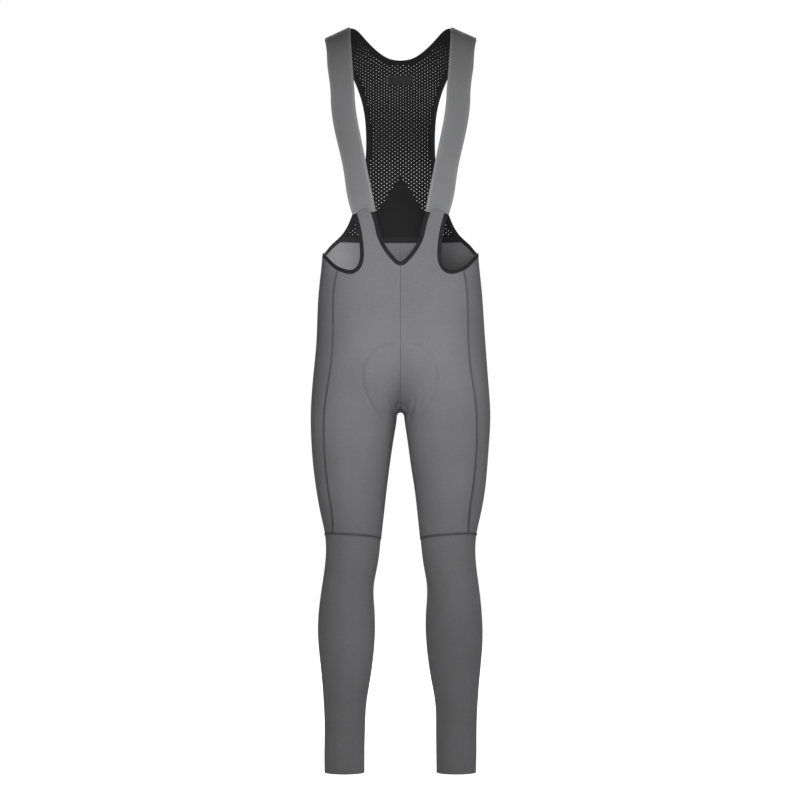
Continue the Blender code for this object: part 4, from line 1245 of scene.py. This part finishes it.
def elastic_material(name, colour):
    """Woven elastic: fine ribs across it, and a smoother, lighter border along both edges."""
    material, tree, shader = new_material(name, 0.7, 0.15)
    across, along = cloth_place(tree)
    slow, fine = noise(tree, 9.0), noise(tree, 600.0)
    warp = computed(tree, "MULTIPLY", wave(tree, across, 0.9), 0.6)
    weave = computed(tree, "ADD", wave(tree, along, 1.1), warp)
    border = ranged(tree, computed(tree, "ABSOLUTE", across), 0.0, 1.0, start=0.0186, end=0.0194)
    plain = ranged(tree, border, 1.0, 0.35)
    set_bump(tree, shader, computed(tree, "MULTIPLY", weave, plain), 0.22, strength=0.6)
    edge, speck = ranged(tree, border, 1.0, 1.14), ranged(tree, fine, 0.86, 1.14)
    ramp = ramped(tree, slow, colour, (0.93, 1.07), ends=(0.3, 0.7))
    set_colour(tree, shader, ramp, computed(tree, "MULTIPLY", edge, speck))
    return material


def thread_material(name, colour):
    """Twisted thread."""
    material, tree, shader = new_material(name, 0.6, 0.2)
    fine = noise(tree, 900.0)
    set_colour(tree, shader, ramped(tree, fine, colour, (0.7, 1.3)))
    set_bump(tree, shader, fine, 0.1)
    return material


def floor_material():
    """Pale paper that glows: white to look at, and dim as a light."""
    material, tree, shader = new_material("paper", 0.9, 0.0)
    set_colour(tree, shader, ramped(tree, noise(tree, 60.0), (1.0, 1.0, 1.0), (0.6, 0.63)))
    seen = node(tree, "ShaderNodeLightPath").outputs["Is Camera Ray"]
    shader.inputs["Emission Color"].default_value = (1.0, 1.0, 1.0, 1.0)
    tree.links.new(ranged(tree, seen, FLOOR_LIGHT, 1.0), shader.inputs["Emission Strength"])
    return material


def make_pair(name, points, faces, flat):
    """A grey panel of the left half and its mirror image."""
    for side in ("left", "right"):
        piece = cloth(f"{name}_{side}", points, faces, flat, "shell", side == "right")


def make_panels():
    """The six panels from the bib to the knee. Returns their crotch triangles for the pad."""
    pad_parts = []
    for name, chart, outline, crease in PANELS:
        points, triangles, flat, on_pad = sheet_of(chart, outline, crease)
        if crease is not None:
            pad_parts.append((points, triangles[on_pad]))
        make_pair(name, points, triangles, flat)
    return pad_parts


def make_seat_pad(pad_parts):
    """The quilted pad inside the crotch, with a channel down its middle and one round each half."""
    halves = pad_parts + [(points * FLIP, triangles[:, ::-1]) for points, triangles in pad_parts]
    points, triangles = merged(halves)
    facing = normals(points)
    outline = joined(PAD_OUTLINE, PAD_OUTLINE[::-1] * FLIP)
    in_from_edge = to_line(points, outline)
    thickness = PAD_EDGE + (PAD_MIDDLE - PAD_EDGE) * ease(in_from_edge / PAD_SLOPE)
    fade = ease(in_from_edge / PAD_CHANNEL_FADE)
    for gap in (np.abs(points[:, 0]), np.abs(in_from_edge - PAD_CHANNEL_FROM_EDGE)):
        thickness -= PAD_CHANNEL * np.exp(-((gap / PAD_CHANNEL_WIDTH) ** 2)) * fade
    outer = placed(points, -CLOTH - PAD_LIFT)
    flat = points[:, :2]
    pad = add_shell("seat_pad", outer, outer - facing * thickness[:, None], triangles, "pad", flat)


def make_lower_legs():
    """Tubes from the knee seam down to the ankle hem."""
    top = joined(*KNEE_LINES)[:-1]
    stretches = zip(KNEE_TURNS[:-1], KNEE_TURNS[1:], KNEE_LINES)
    turns = np.concatenate([np.linspace(a, b, len(line))[:-1] for a, b, line in stretches])
    count = int(round(KNEE_SEAM / COARSE)) + 1
    drops = np.linspace(0, 1, count)[1:]
    rings = [top] + [leg_point(turns, top[:, 2] * (1 - drop)) for drop in drops]
    points = np.concatenate(rings)
    faces = turned_out(points, grid_faces(count, len(top), around=True))
    around = np.linspace(0, 1, len(top), endpoint=False) * LEG_CLOTH_ROUND
    flat = np.stack([np.tile(around, count), points[:, 2]], axis=1)
    make_pair("lower_leg", points, faces, flat)


def make_waist_tape():
    """The flat tape over the seam between the back panels and the perforated back."""
    rows = []
    lap = EDGE_OVERLAP / TAPE_HEIGHT
    for share in np.linspace(-lap, 1 + lap, TAPE_ROWS):
        reach = WAIST_X + (MESH_X - WAIST_X) * share
        rows.append(across_back(np.linspace(reach, -reach, TAPE_COLUMNS), WAIST_SEAM + TAPE_HEIGHT * share))
    points = np.concatenate(rows)
    faces = turned_out(points, grid_faces(TAPE_ROWS, TAPE_COLUMNS))
    top = (BINDING_THICKNESS - CLOTH) / 2
    outer, inner = placed(points, top), placed(points, top - BINDING_THICKNESS)
    return add_shell("waist_tape", outer, inner, faces, "binding", points[:, [0, 2]])


def make_back_mesh():
    """The perforated back with its two arms."""
    points, triangles, flat = perforated(UPPER_CHART, MESH_OUTLINE)
    mesh = cloth("back_mesh", points, triangles, flat, "mesh")


def make_bindings():
    """The dark bands round the neckline and both side openings."""
    pieces = []
    for name, line, half in (
        ("neck_binding", NECK_LINE, np.ones(3)),
        ("side_binding_left", SIDE_LINE, np.ones(3)),
        ("side_binding_right", SIDE_LINE, FLIP),
    ):
        points, faces, flat = binding(line)
        points = points * half
        faces = turned(points, faces)
        pieces.append(add_piece(f"{name}_cloth", points, faces, "binding", flat, name))
    return pieces


def strap_arch(across, stations):
    """How far the strap's folded front end arches down."""
    rise_start, rise_end, fall_start, fall_end = STRAP_END_SHARES
    outward = 1 - across
    arch = np.minimum(eased(outward, (rise_start, rise_end)), eased(outward, (fall_end, fall_start)))
    return arch * STRAP_END_ARCH * eased(stations[:, None], (STRAP_ARCH_REACH, 0))


def make_straps():
    """The wide elastic straps, with their folded front ends arched over the bib's columns."""
    inner_rows = np.array([on_face(face, a, b) for face, a, b, _, _ in STRAP])
    outer_rows = np.array([on_face(face, a, b) for face, _, _, a, b in STRAP])
    edges = [np.stack(UPPER_CHART.coordinates(rows), axis=1) for rows in (inner_rows, outer_rows)]
    run = np.concatenate([[0], np.cumsum(np.abs(np.diff(edges[0][:, 1])))])
    stations = np.linspace(0, run[-1], int(round(run[-1] / EDGE_STEP)) + 1)
    inner_edge, outer_edge = (spline(run, rows)(stations) for rows in edges)
    across = np.linspace(0, 1, STRAP_COLUMNS)
    share = across[:, None]
    places = inner_edge[:, None] * (1 - share) + outer_edge[:, None] * share
    places[..., 1] -= strap_arch(across, stations)
    surface = UPPER_CHART.surface(places[..., 0], places[..., 1])
    points = surface.reshape(-1, 3)
    length = run_along(surface[:, STRAP_COLUMNS // 2])
    width = np.linalg.norm(surface[:, -1] - surface[:, 0], axis=1).mean()
    flat = np.stack(np.broadcast_arrays((across - 0.5) * width, length[:, None]), axis=-1).reshape(-1, 2)
    thickness = np.full(STRAP_COLUMNS, STRAP_THICKNESS)
    thickness[[0, -1]] *= STRAP_EDGE_SHARE
    thickness = np.tile(thickness, len(stations))[:, None]
    faces = turned_out(points, grid_faces(len(stations), STRAP_COLUMNS))
    for side, half, sided_faces in (("left", np.ones(3), faces), ("right", FLIP, faces[:, ::-1])):
        sided = points * half
        inner = placed(sided, STRAP_LIFT)
        outer = inner + normals(sided) * thickness
        piece = add_shell(f"strap_{side}", outer, inner, sided_faces, "elastic", flat)
    return surface


def make_label():
    """A small plain patch inside the back of the neck."""
    width, height = LABEL_SIZE
    columns, rows = np.meshgrid(
        np.linspace(-width / 2, width / 2, LABEL_COLUMNS), np.linspace(0, height, LABEL_ROWS)
    )
    across, up = columns.ravel(), rows.ravel() + LABEL_HEIGHT - height / 2
    points = across_back(across, up)
    faces = turned_out(points, grid_faces(LABEL_ROWS, LABEL_COLUMNS))
    facing = normals(points)
    outer = points - facing * (CLOTH + LABEL_GAP)
    inner = outer - facing * LABEL_THICKNESS
    flat = np.stack([across, up], axis=1)
    label = add_shell("label", outer, inner, faces, "label", flat)


def add_threads(name, parts, material):
    """One piece of all these threads."""
    points, faces = gathered(parts)
    add_piece(name, points, faces, material)


def make_seams():
    """Lapped seams with their flat threads, and the plain seams down the middle."""
    bands, threads = [], []
    for line in LAPPED_SEAMS:
        for path in (line, line * FLIP):
            bands.append(seam_band(path))
            threads += flatlock(path)
    points, faces = gathered(bands)
    add_piece("seam_bands", points, faces, "seam", points[:, [0, 2]])
    add_threads("seam_threads", threads, "thread")
    add_threads("middle_seams", [fine_seam(line) for line in PLAIN_SEAMS], "thread")


def make_stitches(strap):
    """Running stitches along the bindings and across both ends of the straps."""
    lift, inset = (BINDING_THICKNESS - CLOTH) / 2, SEAM_GAP + STITCH_INSET
    dark, pale = dashes(NECK_LINE, inset, lift), []
    for half in (np.ones(3), FLIP):
        dark += dashes(SIDE_LINE * half, half[0] * inset, lift)
        for station in STRAP_STITCH_STATIONS:
            pale += dashes(strap[station] * half, 0.0, STRAP_LIFT + STRAP_THICKNESS, STRAP_THREAD)
    add_threads("binding_stitches", dark, "dark_thread")
    add_threads("strap_stitches", pale, "thread")


def make_studio():
    """A pale floor, soft lights and the photograph's camera."""
    floor_height = -ORIGIN_HEIGHT / 1000 - FLOOR_BELOW
    place = (0, 0, floor_height)
    bpy.ops.mesh.primitive_circle_add(vertices=96, radius=FLOOR_RADIUS, fill_type="NGON", location=place)
    floor = bpy.context.object
    floor.name = "floor"
    floor.data.materials.append(floor_material())
    for name, place, aim, (across, up), watts in LIGHTS:
        light = bpy.data.lights.new(name, "AREA")
        light.shape = "RECTANGLE"
        light.size, light.size_y = across, up
        light.energy = watts
        lamp = bpy.data.objects.new(name, light)
        lamp.location = place
        lamp.rotation_euler = (Vector(aim) - Vector(place)).to_track_quat("-Z", "Y").to_euler()
        lamp.visible_camera = False
        bpy.context.collection.objects.link(lamp)
    camera = bpy.data.cameras.new("camera")
    camera.lens = CAMERA_LENS
    camera.sensor_width = 36.0
    viewer = bpy.data.objects.new("camera", camera)
    viewer.location = (CAMERA_ASIDE, -CAMERA_DISTANCE, CAMERA_HEIGHT)
    viewer.rotation_euler = (math.radians(90), 0, 0)
    bpy.context.collection.objects.link(viewer)
    bpy.context.scene.camera = viewer
    bpy.context.scene.view_settings.view_transform = "Standard"


def make_world():
    """White all round, and dimmer as a light than it looks."""
    world = bpy.data.worlds.new("studio")
    bpy.context.scene.world = world
    world.use_nodes = True
    tree = world.node_tree
    tree.nodes.clear()
    seen = node(tree, "ShaderNodeBackground", {"Color": (1.0, 1.0, 1.0, 1.0), "Strength": 1.0})
    lighting = node(tree, "ShaderNodeBackground", {"Color": (1.0, 1.0, 1.0, 1.0), "Strength": WORLD_LIGHT})
    ray = node(tree, "ShaderNodeLightPath")
    mix = node(tree, "ShaderNodeMixShader", {0: ray.outputs["Is Camera Ray"]})
    tree.links.new(lighting.outputs[0], mix.inputs[1])
    tree.links.new(seen.outputs[0], mix.inputs[2])
    output = node(tree, "ShaderNodeOutputWorld")
    tree.links.new(mix.outputs[0], output.inputs["Surface"])


FLIP = np.array([-1.0, 1.0, 1.0])
CROTCH_POINT = centre_line(-1)[-1]

# Charts of the surface: the front, side and back of a leg with its half of the waist, and the back.
FRONT_CHART = LegChart((-100, 100), (430, 1100), 0)
SIDE_CHART = LegChart((0, 180), (430, 1030), 90)
BACK_CHART = LegChart((80, 280), (430, 1050), 180)
UPPER_CHART = BackChart((-85, 85), (1000, 2000))

# Seams and edges of the left half, each made once and shared by the pieces on both sides of it.
neck_half, neck_column = cut_line(NECK_EDGE)
column_side, front_edge, side_edge, back_edge, tape_end, mesh_edge, arm_side = cut_line(SIDE_EDGE)
(MESH_NECK_LINE,) = cut_line(MESH_NECK)
centre_front = split_at(whole_centre_line("front", neck_half[0][2], -1), PAD_FRONT[0][1])
centre_back = split_at(whole_centre_line("back", WAIST_SEAM, 1), PAD_BACK[-1][1])
front_turn = knee_turn("front", KNEE_SEAM_FRONT_DISTANCE)
back_turn = knee_turn("back", KNEE_SEAM_BACK_DISTANCE)
KNEE_TURNS = (-np.pi / 2, front_turn, back_turn, 1.5 * np.pi)
KNEE_LINES = [knee_line(a, b) for a, b in zip(KNEE_TURNS[:-1], KNEE_TURNS[1:])]
knee_front, knee_side, knee_back = KNEE_LINES
inseam = split_at(inseam_line(knee_front[0]), PAD_INSEAM_HEIGHT)
side_front = side_seam("front", SIDE_SEAM_FRONT, knee_side[0])
side_back = side_seam("back", SIDE_SEAM_BACK, knee_side[-1])

# The pad's edge crosses the inseam, so both of its halves are one smooth line.
pad_rows = [on_face_line("front", PAD_FRONT), [inseam[0][-1]], on_face_line("back", PAD_BACK)]
pad_dense, pad_spots = smooth_line(np.concatenate(pad_rows))
pad_cross = pad_spots[len(PAD_FRONT)]
pad_front_line = spaced(pad_dense[: pad_cross + 1], EDGE_STEP)
pad_back_line = spaced(pad_dense[pad_cross:], EDGE_STEP)
pad_front_line[1:-1] = settle(FRONT_CHART, pad_front_line[1:-1])
pad_back_line[1:-1] = settle(BACK_CHART, pad_back_line[1:-1])
pad_front_line[0], pad_back_line[-1] = centre_front[0][-1], centre_back[0][-1]
PAD_OUTLINE = joined(pad_front_line, pad_back_line)
PAD_LINE = spaced(PAD_OUTLINE, PAD_LINE_STEP)
across_pad = np.cross(unit(np.gradient(PAD_LINE, axis=0)), normals(PAD_LINE))
to_crotch = ((CROTCH_POINT - PAD_LINE) * across_pad).sum(axis=1, keepdims=True)
PAD_INWARD = across_pad * np.sign(to_crotch)
CREASE_LINES = [
    (halves, width, depth, spaced(smooth_line(on_face_line(face, rows))[0], CREASE_STEP))
    for halves, face, width, depth, rows in CREASES
]

# The outlines of the panels.
column_top = spaced(np.array([column_side[0], neck_column[-1]]), EDGE_STEP)
column_top[1:-1] = settle(FRONT_CHART, column_top[1:-1])
front_outline = joined(
    *centre_front,
    *inseam,
    knee_front,
    side_front[::-1],
    front_edge[::-1],
    column_side[::-1],
    column_top,
    neck_column[::-1],
    neck_half[::-1],
)[:-1]
side_outline = joined(side_front, knee_side, side_back[::-1], side_edge[::-1])[:-1]
WAIST_X, MESH_X = back_edge[-1][0], tape_end[-1][0]
waist = across_back(np.linspace(WAIST_X, 0, int(round(WAIST_X / EDGE_STEP)) + 1), WAIST_SEAM)
back_outline = joined(*centre_back, *inseam, knee_back[::-1], side_back[::-1], back_edge, waist)[:-1]
PANELS = (
    ("front", FRONT_CHART, front_outline, pad_front_line),
    ("side", SIDE_CHART, side_outline, None),
    ("back", BACK_CHART, back_outline, pad_back_line),
)

# The outline of the perforated back, and the lines that the bindings follow.
mesh_low_x = np.linspace(-MESH_X, MESH_X, 2 * int(round(MESH_X / EDGE_STEP)) + 1)
mesh_low = across_back(mesh_low_x, WAIST_SEAM + TAPE_HEIGHT)
mesh_low[0], mesh_low[-1] = tape_end[-1] * FLIP, tape_end[-1]
arm_x = np.linspace(arm_side[-1][0], MESH_NECK_LINE[-1][0], ARM_END_POINTS)
arm_end = on_face("ridge", arm_x, np.full(len(arm_x), ARM_END_BEHIND))
mesh_half = joined(mesh_edge, arm_side, arm_end, MESH_NECK_LINE[::-1])
MESH_OUTLINE = joined(mesh_low, mesh_half, (mesh_half * FLIP)[::-1])[:-1]
SIDE_LINE = joined(front_edge, side_edge, back_edge, tape_end, mesh_edge)
NECK_LINE = joined((neck_half * FLIP)[::-1], neck_half)

# Lines of the left half's lapped seams, and of the plain seams in the middle.
LAPPED_SEAMS = (side_front, side_back, joined(*inseam), joined(*KNEE_LINES))
PLAIN_SEAMS = (joined(*centre_front), joined(*centre_back))

MATERIALS = {
    "shell": knit_material("shell", (0.17, 0.17, 0.175), 0.85, 0.05, 1.3, 1.0, 0.16),
    "seam": knit_material("seam", (0.118, 0.118, 0.123), 0.85, 0.03, 1.1, 0.9, 0.16),
    "mesh": knit_material("mesh", (0.0068, 0.0068, 0.0073), 0.75, 0.02, 1.2, 0.9, 0.15),
    "binding": knit_material("binding", (0.016, 0.016, 0.0172), 0.75, 0.03, 0.9, 1.2, 0.2),
    "pad": knit_material("pad", (0.09, 0.09, 0.095), 0.9, 0.05, 0.9, 0.9, 0.1),
    "label": knit_material("label", (0.02, 0.02, 0.021), 0.55, 0.0, 0.6, 0.6, 0.05),
    "elastic": elastic_material("elastic", (0.205, 0.205, 0.21)),
    "thread": thread_material("thread", (0.07, 0.07, 0.073)),
    "dark_thread": thread_material("dark_thread", (0.012, 0.012, 0.013)),
}

make_seat_pad(make_panels())
make_lower_legs()
tape = make_waist_tape()
make_back_mesh()
bindings = make_bindings()
strap_surface = make_straps()
make_label()
make_seams()
make_stitches(strap_surface)
make_studio()
make_world()
